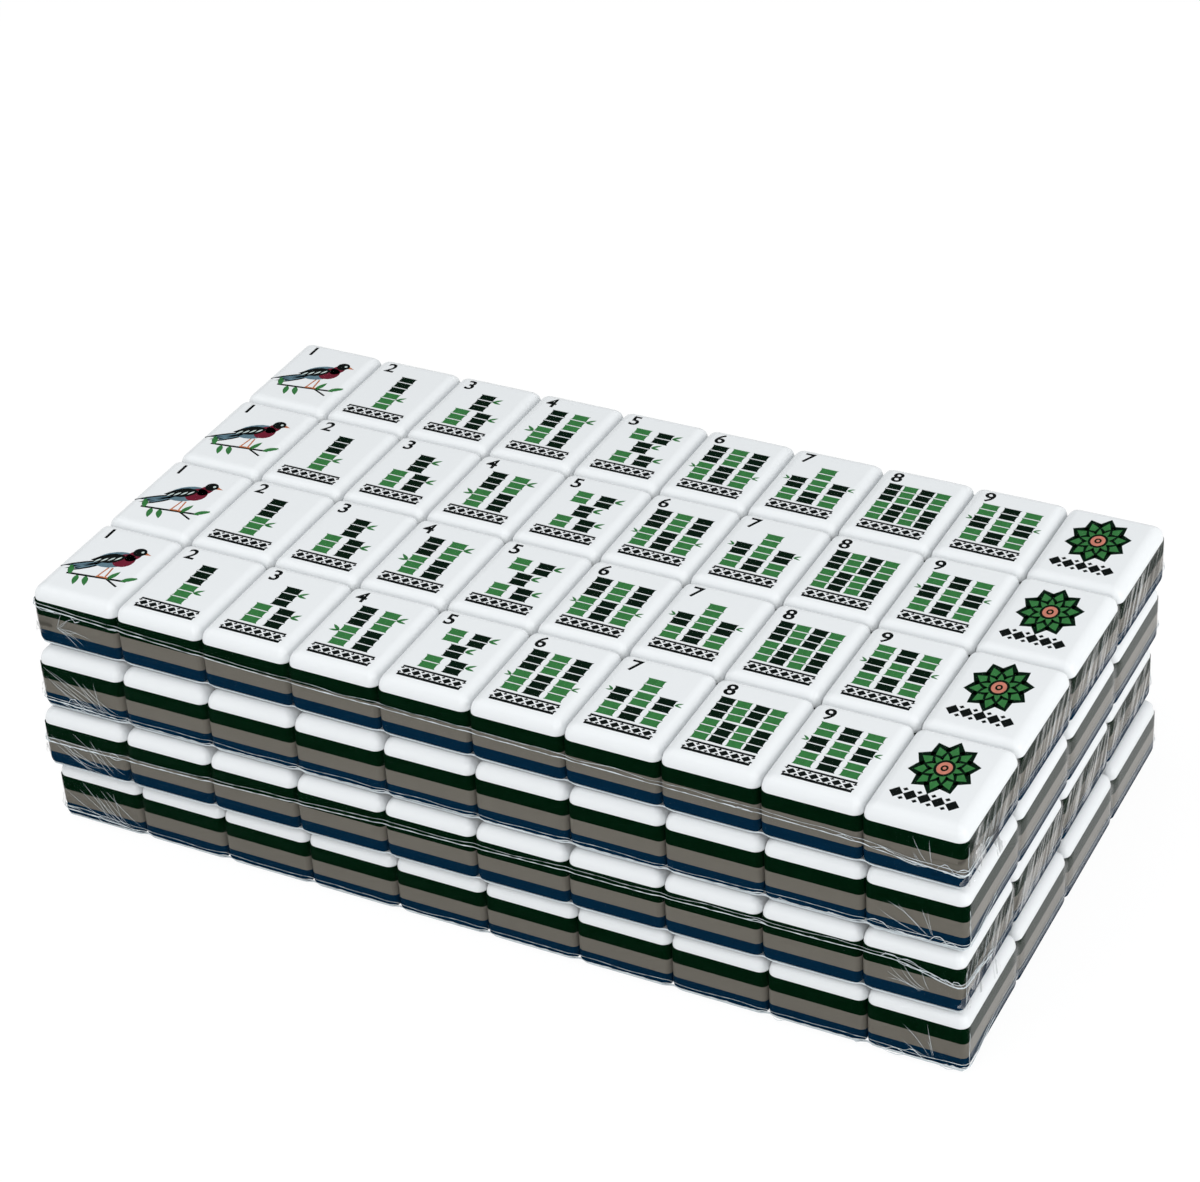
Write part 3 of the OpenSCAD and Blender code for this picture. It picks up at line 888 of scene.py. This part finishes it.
class Wrap:
    """The sides of one pack, unrolled: run is the way round from the front left corner, along the
    front, the right, the back and the left, and rise is the height over the tiles' underside."""

    def __init__(self, s, level):
        self.level = level
        self.pitch = (s["tile_w"] + s["tile_gap"], s["tile_l"] + s["tile_gap"])
        self.slack = s["film_skin"] * SLACK_SHARE
        self.half_w = (KINDS * self.pitch[0] - s["tile_gap"]) / 2 + self.slack
        self.half_l = (ROWS * self.pitch[1] - s["tile_gap"]) / 2 + self.slack
        self.corner = s["corner_r"] + self.slack
        self.tile_h = s["white_t"] + s["green_t"] + s["grey_t"] + s["blue_t"]
        # The coloured layers end a little over this height.
        self.dark_h = self.tile_h - s["white_t"] - 0.3
        # Two packs have their weld high up the sides, and more film gathered on the right.
        self.high = level in (TOP, LOWER)
        self.straight_w = 2 * (self.half_w - self.corner)
        self.straight_l = 2 * (self.half_l - self.corner)
        self.arc = self.corner * math.pi / 2
        self.around = 2 * (self.straight_w + self.straight_l) + 4 * self.arc

    def place(self, run):
        """Position and outward direction at a place along the sides."""
        run %= self.around
        hx, hy = self.half_w - self.corner, self.half_l - self.corner
        sides = [(self.straight_w, (-hx, -self.half_l), (1, 0), (0, -1), (hx, -hy)),
                 (self.straight_l, (self.half_w, -hy), (0, 1), (1, 0), (hx, hy)),
                 (self.straight_w, (hx, self.half_l), (-1, 0), (0, 1), (-hx, hy)),
                 (self.straight_l, (-self.half_w, hy), (0, -1), (-1, 0), (-hx, -hy))]
        for long, start, way, out, middle in sides:
            if run <= long:
                return (start[0] + way[0] * run, start[1] + way[1] * run), out
            run -= long
            if run <= self.arc:
                angle = math.atan2(out[1], out[0]) + run / self.corner
                out = (math.cos(angle), math.sin(angle))
                return (middle[0] + out[0] * self.corner, middle[1] + out[1] * self.corner), out
            run -= self.arc
        return sides[0][1], (0, -1)

    def front(self, x):
        """The run at a place along the front, x from the pack's middle."""
        return x + self.half_w - self.corner

    def right(self, y):
        """The run at a place along the right side, y from the pack's middle."""
        return self.straight_w + self.arc + y + self.half_l - self.corner

    def notch(self, x, y):
        """How near a place is to a groove between tiles, from 0 to 1, along X and along Y."""
        found = []
        for value, pitch, count in ((x, self.pitch[0], KINDS), (y, self.pitch[1], ROWS)):
            nearest = round(value / pitch - count / 2) + count / 2
            inside = abs(nearest) < count / 2 - 0.1
            off = abs(value - nearest * pitch)
            reached = inside and off < GROOVE_REACH
            found.append(0.5 + 0.5 * math.cos(math.pi * off / GROOVE_REACH) if reached else 0)
        return found

    def groove(self, x, y, out):
        """How near a place on the sides is to a groove, from 0 to 1. The round corners have none."""
        return max(self.notch(x, y)) if min(abs(out[0]), abs(out[1])) < FLAT else 0

    def weld(self, run):
        """Height of the weld round the pack."""
        (x, y), out = self.place(run)
        share = (x + self.half_w) / (2 * self.half_w)
        wander = 0.25 * noise.noise(Vector((run * 0.05, self.level * 7.3, 0)))
        if self.level == TOP:
            rise = between(TOP_WELD, share)
        elif self.level == LOWER:
            # It climbs to the right and drops just before the corner.
            rise = 6.9 + 2.6 * smoothstep(share * 1.6) + 1.0 * share
            rise -= 3.4 * smoothstep((share - 0.93) * 14)
        else:
            # It lies low, a little higher by the left corner.
            rise = 1.3 + 1.0 * math.exp(-((share * 12) ** 2))
        if out[0] > 0.7:
            along = (y + self.half_l) / (2 * self.half_l)
            rise += (SIDE_WELD - rise) * smoothstep(along * 6)
        return rise + wander


class Crease:
    """A fold in the film, from one place on the sides to another, with a bow between."""

    def __init__(self, start, end, bow, width, height):
        self.start, self.end = start, end
        self.bow, self.width, self.height = bow, width, height

    def points(self):
        """Places along the fold as (run, rise, share of its height)."""
        made = []
        for i in range(FOLD_POINTS):
            t = i / (FOLD_POINTS - 1)
            run = self.start[0] + (self.end[0] - self.start[0]) * t
            rise = self.start[1] + (self.end[1] - self.start[1]) * t
            rise += self.bow * math.sin(math.pi * t)
            made.append((run, rise, math.sin(math.pi * min(1, 0.06 + t * 0.94)) ** 0.6))
        return made

    def beside(self, run):
        """Whether a place is near enough for the fold to lift the film there."""
        low, high = sorted((self.start[0], self.end[0]))
        return low - 2 < run < high + 2


def crease_plan(wrap, rng):
    """The faint folds: strain lines over the left end tile, small folds up the right side where the
    film gathers, and lines that sweep up and to the left from near the right corner."""
    made = []
    left, right = wrap.front(-wrap.half_w + 3), wrap.front(wrap.half_w - 3)
    if wrap.level != TOP:
        for i in range(STRAIN_LINES):
            start = (left + rng.uniform(-2, 13), rng.uniform(8, 11.5) - i * 0.12)
            end = (left + 17.5 + rng.uniform(-6, 1.5), rng.uniform(0.5, 2.7))
            made.append(Crease(start, end, rng.uniform(-2.4, 0.4),
                               rng.uniform(0.35, 0.9), rng.uniform(0.12, 0.3)))
    else:
        hub = (left + 3.2, 5.4)
        for i in range(FAN_LINES):
            angle = math.radians(-50 + i * 18 + rng.uniform(-8, 8))
            reach = rng.uniform(5, 12)
            end = (hub[0] + reach * math.cos(angle),
                   max(0.4, min(FAN_TOP, hub[1] + reach * 0.7 * math.sin(angle) - 1)))
            made.append(Crease(hub, end, rng.uniform(-1.2, 1.2), 0.5, rng.uniform(0.15, 0.3)))
    if wrap.high:
        for i in range(SIDE_FOLDS):
            run = wrap.right(-wrap.half_l) + rng.uniform(2, 16 if i < SIDE_FOLDS / 2 else 100)
            rise, reach = rng.uniform(2.5, 6.5), rng.uniform(3, 7)
            made.append(Crease((run, rise), (run + reach * 0.5, min(SIDE_TOP, rise + reach)),
                               rng.uniform(-0.4, 0.4), rng.uniform(0.3, 0.6), rng.uniform(0.05, 0.14)))
    hub = (right - 4, 3.4 if wrap.high else 1.4)
    for i in range(SWEEP_LINES):
        angle = math.radians(98 + i * 14 + rng.uniform(-10, 10))
        reach = rng.uniform(6, 16)
        start = (hub[0] + 2.5 * math.cos(angle), hub[1] + 1.2 * math.sin(angle))
        end = (hub[0] + reach * math.cos(angle), min(SWEEP_TOP, hub[1] + reach * 0.7 * math.sin(angle)))
        made.append(Crease(start, end, rng.uniform(-1.2, 1.2),
                           rng.uniform(0.4, 0.9), rng.uniform(0.12, 0.3)))
    return made


def glint(wrap, rng, run, reach):
    """A painted glint: a pale strand that splits off the weld and comes back to it, kinked and bright."""
    way = rng.choice((-1, 1))
    swell = rng.gauss(0.1, 0.8)
    points = []
    for i in range(STRAND_POINTS):
        along = i / (STRAND_POINTS - 1)
        rise = wrap.weld(run) + swell * math.sin(math.pi * along) + rng.uniform(-0.22, 0.22)
        points.append((run, max(0.3, min(STRAND_TOP, rise)),
                       math.sin(math.pi * (along * 0.9 + 0.05)) ** 0.6 * rng.uniform(0.4, 1.2)))
        run += way * reach / STRAND_POINTS
    return points


def corner_line(wrap, rng):
    """A painted highlight: a fine pale line for the fold down the upright corner."""
    run = wrap.straight_w + wrap.arc * 0.8
    return [(run + rng.uniform(-0.12, 0.12), 1.6 + i * 0.9, rng.uniform(0.25, 0.75))
            for i in range(CORNER_POINTS)]


def glint_plan(wrap, rng):
    """Where the film gathers most, by both front corners: painted glints along the weld, and the
    corner's painted highlight.
    """
    left, right = wrap.front(-wrap.half_w + 3), wrap.front(wrap.half_w - 3)
    # Middle, spread, number of strands and their reach
    spots = [(left + 2, 4, 5, 6), (right - 8, 5, 5, 7), (right + 1, 2, 4, 5), (right - 34, 5, 2, 5),
             (left + 18, 2, 2, 4)]
    if wrap.high:
        spots.append((right + 9, 4, 10, 7))
    made = [corner_line(wrap, rng)]
    for run, spread, count, reach in spots:
        for _ in range(count):
            made.append(glint(wrap, rng, run + rng.gauss(0, spread), reach * rng.uniform(0.5, 1.2)))
    return made


def band_runs(wrap):
    """Places round the sides: close together where the film is creased, wide apart elsewhere."""
    runs, run = [], 0.0
    marks = [0, wrap.straight_w + wrap.arc, wrap.straight_w + wrap.straight_l + 2 * wrap.arc,
             2 * wrap.straight_w + wrap.straight_l + 3 * wrap.arc, wrap.around]
    while run < wrap.around - 0.3:
        runs.append(run)
        near = min(abs(run - mark) for mark in marks)
        on_right = marks[1] - 4 < run < marks[2]
        front_end = run < CREASED_END or wrap.straight_w - CREASED_END < run < marks[1]
        if front_end or (wrap.high and on_right):
            run += CREASED_STEP
        else:
            run += CORNER_STEP if near < CORNER_REACH else PLAIN_STEP
    return runs


def band_profile(s, wrap):
    """The film's section as (inward, height), from under the back's edge to over the face's edge."""
    back_r, face_r = s["back_r"] + wrap.slack, s["face_r"] + wrap.slack
    low, high = back_r - wrap.slack, wrap.tile_h + wrap.slack - face_r
    profile = []
    for i in range(BACK_STEPS + 1):
        a = math.radians(90 * i / BACK_STEPS)
        profile.append((back_r * (1 - math.sin(a)), -wrap.slack + back_r * (1 - math.cos(a))))
    profile += [(0, low + (high - low) * i / SIDE_STEPS) for i in range(1, SIDE_STEPS)]
    for i in range(FACE_STEPS + 1):
        a = math.radians(90 * i / FACE_STEPS)
        profile.append((face_r * (1 - math.cos(a)), high + face_r * math.sin(a)))
    return profile


def ring_band(around, rings):
    """A closed floor with rings of this many vertices over it, each extruded from the last."""
    clear()
    bpy.ops.mesh.primitive_circle_add(vertices=around, radius=1, fill_type="NGON")
    obj = bpy.context.view_layer.objects.active
    bpy.ops.object.mode_set(mode="EDIT")
    for _ in range(rings - 1):
        bpy.ops.mesh.select_all(action="DESELECT")
        bpy.ops.object.mode_set(mode="OBJECT")
        start = len(obj.data.vertices) - around
        for vertex in obj.data.vertices:
            vertex.select = vertex.index >= start
        for edge in obj.data.edges:
            edge.select = min(edge.vertices) >= start
        bpy.ops.object.mode_set(mode="EDIT")
        bpy.ops.mesh.select_mode(type="EDGE")
        bpy.ops.mesh.extrude_edges_move(TRANSFORM_OT_translate={"value": (0, 0, 1)})
    bpy.ops.object.mode_set(mode="OBJECT")
    return obj


def fold_lift(folds, run, z):
    """How far the folds lift the film at a place, each by its point nearest to it."""
    lift = 0.0
    for crease, points in folds:
        best, strength = 9.0, 0
        for fold_run, fold_z, share in points:
            apart = (run - fold_run) ** 2 + (z - fold_z) ** 2
            if apart < best:
                best, strength = apart, share
        lift = max(lift, crease.height * strength * math.exp(-best / (crease.width * 1.2) ** 2))
    return lift


def back_share(z):
    """How near a height is to the backs' edges, from 0 to 1."""
    return smoothstep((2.5 - z) / 2.5)


def drawn_in(groove, share):
    """How far a groove draws the film in: by a quarter on the flat of the sides, and fully where the
    share of an edge is 1."""
    return groove * (0.25 + 0.75 * share)


def film_band(s, wrap, creases):
    """The film under the backs and round the sides, up to over the face's edge."""
    profile, runs = band_profile(s, wrap), band_runs(wrap)
    obj = ring_band(len(runs), len(profile))
    places = [wrap.place(run) for run in runs]
    folds = [(crease, crease.points()) for crease in creases]
    near = [[fold for fold in folds if fold[0].beside(run)] for run in runs]
    for index, vertex in enumerate(obj.data.vertices):
        row, i = divmod(index, len(runs))
        rim, z = profile[row]
        (x, y), out = places[i]
        groove = wrap.groove(x, y, out)
        pull = drawn_in(groove, max(back_share(z), smoothstep((z - 11) / 3)))
        inward = rim + (pull - fold_lift(near[i], runs[i], z))
        if z > wrap.tile_h - 1:
            z -= GROOVE_SINK * groove * smoothstep((z - wrap.tile_h + 1) / 1.2)
        x, y = x - out[0] * inward, y - out[1] * inward
        # Where the rim turns in by more than the corner's radius, its corner is a mitre.
        if rim > wrap.corner:
            if abs(out[0]) > FLAT or abs(x) > wrap.half_w - rim:
                x = max(rim - wrap.half_w, min(wrap.half_w - rim, x))
            if abs(out[1]) > FLAT or abs(y) > wrap.half_l - rim:
                y = max(rim - wrap.half_l, min(wrap.half_l - rim, y))
        vertex.co = (x, y, z)
    return obj


def film_top(s, wrap):
    """The film over the faces: taut over each tile and a little sunk along the grooves."""
    face_r = s["face_r"] + wrap.slack
    # Grid lines in the groove and on both its sides, in shares of the pitch
    offsets = [-0.5, -0.47, -0.43, -0.4, 0.4, 0.43, 0.47]
    lines = []
    for pitch, count, half in ((wrap.pitch[0], KINDS, wrap.half_w), (wrap.pitch[1], ROWS, wrap.half_l)):
        values = [(i + o + 0.5 - count / 2) * pitch for i in range(count) for o in offsets]
        edge = half - face_r
        values = [v for v in values if abs(v) < edge - 0.2]
        lines.append([-edge] + values + [edge])
    columns, rows = lines
    clear()
    bpy.ops.mesh.primitive_grid_add(x_subdivisions=len(columns) - 1, y_subdivisions=len(rows) - 1, size=2)
    obj = bpy.context.view_layer.objects.active
    for vertex in obj.data.vertices:
        i = round((vertex.co.x + 1) / 2 * (len(columns) - 1))
        j = round((vertex.co.y + 1) / 2 * (len(rows) - 1))
        x, y = columns[i], rows[j]
        dip = wrap.notch(x, y)
        sink = GROOVE_SINK * (dip[0] + dip[1] - dip[0] * dip[1])
        vertex.co = (x, y, wrap.tile_h + wrap.slack - sink)
    return obj


def wire(name, paths, radius):
    """Thin round lines along paths of (x, y, z, share of the radius), as one mesh."""
    data = bpy.data.curves.new(name, "CURVE")
    data.dimensions = "3D"
    data.bevel_depth = radius
    data.bevel_resolution = 1
    for points, closed in paths:
        spline = data.splines.new("POLY")
        spline.points.add(len(points) - 1)
        for point, (x, y, z, share) in zip(spline.points, points):
            point.co = (x, y, z, 1)
            point.radius = share
        spline.use_cyclic_u = closed
    obj = bpy.data.objects.new(name, data)
    bpy.context.collection.objects.link(obj)
    select([obj])
    bpy.ops.object.convert(target="MESH")
    return bpy.context.view_layer.objects.active


def on_band(wrap, run, rise, proud):
    """A point this far outside the film on the sides."""
    (x, y), out = wrap.place(run)
    inward = drawn_in(wrap.groove(x, y, out), back_share(rise)) - proud
    return x - out[0] * inward, y - out[1] * inward, rise


def steps(end, step):
    """Places from 0 up to an end, one step apart."""
    run = 0.0
    while run < end:
        yield run
        run += step


def film_weld(wrap, glints):
    """The weld between the film's two halves, with the fainter line where they lie double above it,
    a pale line where the film turns under the backs, and painted glints along the weld. The pale
    line is partly the film's edge and partly painted light on the shaded strip at each pack's foot."""
    weld, double, edge = [], [], []
    right = wrap.straight_w + wrap.arc
    for run in steps(wrap.around - 0.5, WELD_STEP):
        rough = noise.noise(Vector((run * 0.6, wrap.level * 3.1, 5)))
        proud = 0.28 + 0.1 * noise.noise(Vector((run * 0.3, wrap.level, 2)))
        x, y, z = on_band(wrap, run, wrap.weld(run) + 0.1 * rough, proud)
        # It thickens towards the front corners, and lies flat along the right side.
        near = min(abs(run), abs(run - wrap.straight_w), wrap.around - run)
        share = 0.65 + 0.9 * rough + 0.4 * smoothstep(1 - near / 20)
        if right + 14 < run < right + wrap.straight_l:
            share *= 0.35
        weld.append((x, y, z, max(0.25, share)))
        lift = 0.9 + 0.5 * noise.noise(Vector((run * 0.12, wrap.level * 1.7, 3)))
        x, y, z = on_band(wrap, run, wrap.weld(run) + lift, 0.2)
        double.append((x, y, z, max(0.1, share * 0.45)))
    # The pale line under the backs: partly the film's edge, partly painted light, made thick and pale so
    # that the shaded strip at each pack's foot reads bright
    for run in steps(wrap.around - 0.5, PALE_LINE_STEP):
        (x, y), out = wrap.place(run)
        groove = wrap.groove(x, y, out)
        inward = 0.7 + groove * 0.7
        share = 0.4 if out[0] > 0.3 else 1.7 + 0.4 * noise.noise(Vector((run * 0.2, wrap.level, 9)))
        edge.append((x - out[0] * inward, y - out[1] * inward, 0.12 - 0.08 * groove, share))
    # Painted glints: pale wires along the weld
    glint_strands = [([on_band(wrap, run, rise, 0.3) + (share,) for run, rise, share in points], False)
               for points in glints]
    return join([wire("weld", [(path, True) for path in (weld, double, edge)], WELD_R),
                 wire("folds", glint_strands, STRAND_R)], "weld")


def film_creases(wrap, creases, rng):
    """A painted highlight along the crest of each fold: a fine pale line."""
    paths = []
    for crease in creases:
        points = []
        for run, rise, share in crease.points():
            if 0.2 < rise < 12:
                x, y, z = on_band(wrap, run, rise, crease.height * share + 0.02)
                points.append((x, y, z, share * rng.uniform(0.6, 1.1)))
        if len(points) > 3:
            paths.append((points, False))
    return wire("creases", paths, CREST_R)


def film_tabs(wrap, rng):
    """Crumpled ends of film: small at the front left corner, larger by the front right one."""
    # Run, rise, width, height and how far the lower end stands out
    plan = [(wrap.front(-wrap.half_w) + 0.5, 4.6, 2.6, 2.4, 0.5)]
    if wrap.high:
        plan += [(wrap.right(-wrap.half_l + 6), 4.6, 6.5, 5.4, 1.3),
                 (wrap.right(-wrap.half_l + 15), 2.4, 4.5, 4.4, 1.9),
                 (wrap.right(-wrap.half_l + 1), 3.0, 3.2, 3.0, 0.8)]
    tabs = []
    for run, rise, wide, tall, proud in plan:
        clear()
        bpy.ops.mesh.primitive_grid_add(x_subdivisions=12, y_subdivisions=10, size=2)
        obj = bpy.context.view_layer.objects.active
        seed = rng.uniform(0, 50)
        for vertex in obj.data.vertices:
            u, v = vertex.co.x, vertex.co.y
            crumple = noise.noise(Vector((u * 1.8 + seed, v * 1.6, 0))) + 0.6 * noise.noise(
                Vector((u * 4.5, v * 4 + seed, 3)))
            along = u * wide / 2 * (0.75 + 0.25 * math.sin(3 * v + seed)) + 0.5 * crumple
            height = v * tall / 2 + 0.6 * noise.noise(Vector((u * 2.2, seed, v)))
            out_by = 0.15 + proud * (0.5 - 0.5 * v) ** 1.3 * 0.8 + 0.45 * abs(crumple)
            vertex.co = on_band(wrap, run + along, rise + height, out_by)
        modify(obj, "SUBSURF", levels=1, render_levels=1)
        tabs.append(obj)
    return join(tabs, "tabs")


# The second and third finishes carry painted highlight and painted shade streaks
SKIN_FINISHES = ["Clear shrink film", "Drawn shrink film", "Gathered shrink film", "Taut shrink film"]
CLEAR, STREAKED, GATHERED, TAUT = range(4)
# A face of the skin that is nearer than this to the plane of a side, or of the top, belongs to it
SKIN_DEPTH = 1.5
# How far the gathered film reaches along the right side, and along the front from its right and left
GATHERED_SIDE, GATHERED_RIGHT, GATHERED_LEFT = 14, 7, 5


def gather_film(skin, wrap):
    """Gives each part of the skin its finish: taut over the rounded edges, streaked with painted
    highlight and painted shade on some sides, gathered with creases as well by the corners, plain
    on the rest."""
    for face in skin.data.polygons:
        x, y, z = face.center
        left, right, front = x + wrap.half_w, wrap.half_w - x, y + wrap.half_l
        far_rim = (wrap.half_l - y < SKIN_DEPTH or left < SKIN_DEPTH) and z > wrap.tile_h - 5
        if z > wrap.tile_h - SKIN_DEPTH or z < 2 or far_rim:
            finish = TAUT
        elif wrap.high and right < SKIN_DEPTH:
            finish = CLEAR if z >= wrap.dark_h else GATHERED if front < GATHERED_SIDE else STREAKED
        elif front < SKIN_DEPTH and right < GATHERED_RIGHT and z < 6.5:
            finish = GATHERED
        elif wrap.level == TOP and front < SKIN_DEPTH and left < GATHERED_LEFT and z < 9:
            finish = GATHERED
        else:
            finish = CLEAR
        face.material_index = finish


class TILES_OT_film(bpy.types.Operator):
    """Shrink the clear film round each pack, with its weld, folds and crumpled ends"""
    bl_idname = "tiles.film"
    bl_label = "Shrink the film on"

    def execute(self, context):
        s = sizes()
        m = materials()
        for level, suit in enumerate(SUITS):
            rng = random.Random(FOLD_SEED + level)
            wrap = Wrap(s, level)
            folds = crease_plan(wrap, rng)
            skin = join([film_band(s, wrap, folds), film_top(s, wrap)], suit + "_film_skin")
            smooth(skin, FILM_ANGLE)
            gather_film(skin, wrap)
            finish_piece(skin, level, [m[name] for name in SKIN_FINISHES],
                         [suit + "_film"])
            # The weld and creases pieces are pale wires: the real weld, with painted glints along it, a
            # pale line that is partly painted light, and painted highlights on the folds' crests
            parts = [(film_weld(wrap, glint_plan(wrap, rng)), "weld", "Welded film"),
                     (film_creases(wrap, folds, rng), "creases", "Creased film"),
                     (film_tabs(wrap, rng), "tabs", "Crumpled shrink film")]
            for obj, name, finish in parts:
                obj.name = "%s_film_%s" % (suit, name)
                smooth(obj, FILM_ANGLE)
                finish_piece(obj, level, m[finish])
        return {"FINISHED"}


# ---------------------------------------------------------------- studio

# The rectangular lamps: where each stands, its size in metres and its watts; all aim at the stack
LAMPS = {
    "key_softbox": ((-0.35, -0.25, 0.85), (0.8, 0.8), 3.55),
    "front_fill": ((0.15, -0.95, 0.4), (0.9, 0.5), 3.2),
    "right_fill": ((0.85, 0.1, 0.35), (0.5, 0.5), 4.0),
}
LAMP_AIM = (0, 0, 0.03)
# The camera, fitted to the photograph: its place, its turn in degrees and its lens in mm
CAMERA_PLACE, CAMERA_TURN, CAMERA_LENS = (0.287417, -0.516359, 0.453919), (55.855, 3.286, 26.777), 95.505
# The floor's size and how far it lies under the stack, in metres
FLOOR_SIZE, FLOOR_DROP = 8, 0.00005
# The floor as the camera sees it: how much of it shines by itself, and how brightly
FLOOR_SHARE, FLOOR_BRIGHT = 0.86, 1.07


def lamp(name, place, size, watts):
    clear()
    way = (Vector(LAMP_AIM) - Vector(place)).to_track_quat("-Z", "Y").to_euler()
    bpy.ops.object.light_add(type="AREA", location=place, rotation=way)
    light = bpy.context.view_layer.objects.active
    light.name = name
    light.data.shape = "RECTANGLE"
    light.data.size, light.data.size_y = size
    light.data.energy = watts


def seen_plainly(tree):
    """1 for rays from the camera, or by way of a mirror or glass, and 0 for light on the object."""
    rays = add(tree, "ShaderNodeLightPath").outputs
    seen = add(tree, "ShaderNodeMath", {0: rays["Is Camera Ray"], 1: rays["Is Transmission Ray"]},
               operation="MAXIMUM")
    return add(tree, "ShaderNodeMath", {0: seen.outputs[0], 1: rays["Is Glossy Ray"]},
               operation="MAXIMUM").outputs[0]


def studio_floor():
    """White studio paper, which keeps the stack's shadow."""
    clear()
    bpy.ops.mesh.primitive_plane_add(size=FLOOR_SIZE, location=(0, 0, -FLOOR_DROP))
    floor = bpy.context.view_layer.objects.active
    floor.name = "studio_floor"
    material, tree = new_material("White studio paper")
    share = add(tree, "ShaderNodeMath", {0: seen_plainly(tree), 1: FLOOR_SHARE}, operation="MULTIPLY")
    paper = add(tree, "ShaderNodeBsdfDiffuse", {"Color": (0.8, 0.8, 0.8, 1)})
    bright = add(tree, "ShaderNodeEmission", {"Color": (1, 1, 1, 1), "Strength": FLOOR_BRIGHT})
    mixed = add(tree, "ShaderNodeMixShader", {0: share.outputs[0], 1: paper.outputs[0],
                                              2: bright.outputs[0]})
    add(tree, "ShaderNodeOutputMaterial", {"Surface": mixed.outputs[0]})
    floor.data.materials.append(material)


def studio_world(scene):
    """A faint cool light from all round; the camera sees white instead."""
    world = scene.world = bpy.data.worlds.new("Studio")
    world.use_nodes = True
    tree = world.node_tree
    tree.nodes.clear()
    fill = add(tree, "ShaderNodeBackground", {"Color": (0.93, 0.97, 1, 1), "Strength": 0.45})
    bright = add(tree, "ShaderNodeBackground", {"Color": (1, 1, 1, 1), "Strength": 1.0})
    mixed = add(tree, "ShaderNodeMixShader", {0: seen_plainly(tree), 1: fill.outputs[0],
                                              2: bright.outputs[0]})
    add(tree, "ShaderNodeOutputWorld", {"Surface": mixed.outputs[0]})


def photo_camera(scene):
    clear()
    bpy.ops.object.camera_add(location=CAMERA_PLACE, rotation=[math.radians(a) for a in CAMERA_TURN])
    camera = bpy.context.view_layer.objects.active
    camera.name = "photo_camera"
    camera.data.sensor_width = 36
    camera.data.lens = CAMERA_LENS
    camera.data.clip_start = 0.01
    scene.camera = camera


class TILES_OT_stage(bpy.types.Operator):
    """Set the white floor, the studio lights and the camera"""
    bl_idname = "tiles.stage"
    bl_label = "Set the stage"

    def execute(self, context):
        studio_floor()
        studio_world(context.scene)
        for name, (place, size, watts) in LAMPS.items():
            lamp(name, place, size, watts)
        photo_camera(context.scene)
        context.scene.view_settings.view_transform = "Standard"
        return {"FINISHED"}


class TILES_PT_panel(bpy.types.Panel):
    """Sizes, colours and steps of the tile stack"""
    bl_idname = "TILES_PT_panel"
    bl_label = "Tile Stack"
    bl_space_type = "VIEW_3D"
    bl_region_type = "UI"
    bl_category = "Tile Stack"

    def draw(self, context):
        for group in (context.scene.tile_sizes, context.scene.stack_colours):
            for name in type(group).__annotations__:
                self.layout.prop(group, name)
        for step in STEPS:
            self.layout.operator(step.bl_idname)


STEPS = [TILES_OT_stage, TILES_OT_layers, TILES_OT_faces, TILES_OT_film]
CLASSES = [TileSizes, StackColours] + STEPS + [TILES_PT_panel]


def register():
    for cls in CLASSES:
        bpy.utils.register_class(cls)
    bpy.types.Scene.tile_sizes = bpy.props.PointerProperty(type=TileSizes)
    bpy.types.Scene.stack_colours = bpy.props.PointerProperty(type=StackColours)


def unregister():
    del bpy.types.Scene.stack_colours
    del bpy.types.Scene.tile_sizes
    for cls in reversed(CLASSES):
        bpy.utils.unregister_class(cls)


def main():
    register()
    bpy.ops.tiles.stage()
    bpy.ops.tiles.layers()
    bpy.ops.tiles.faces()
    bpy.ops.tiles.film()


if __name__ == "__main__":
    main()
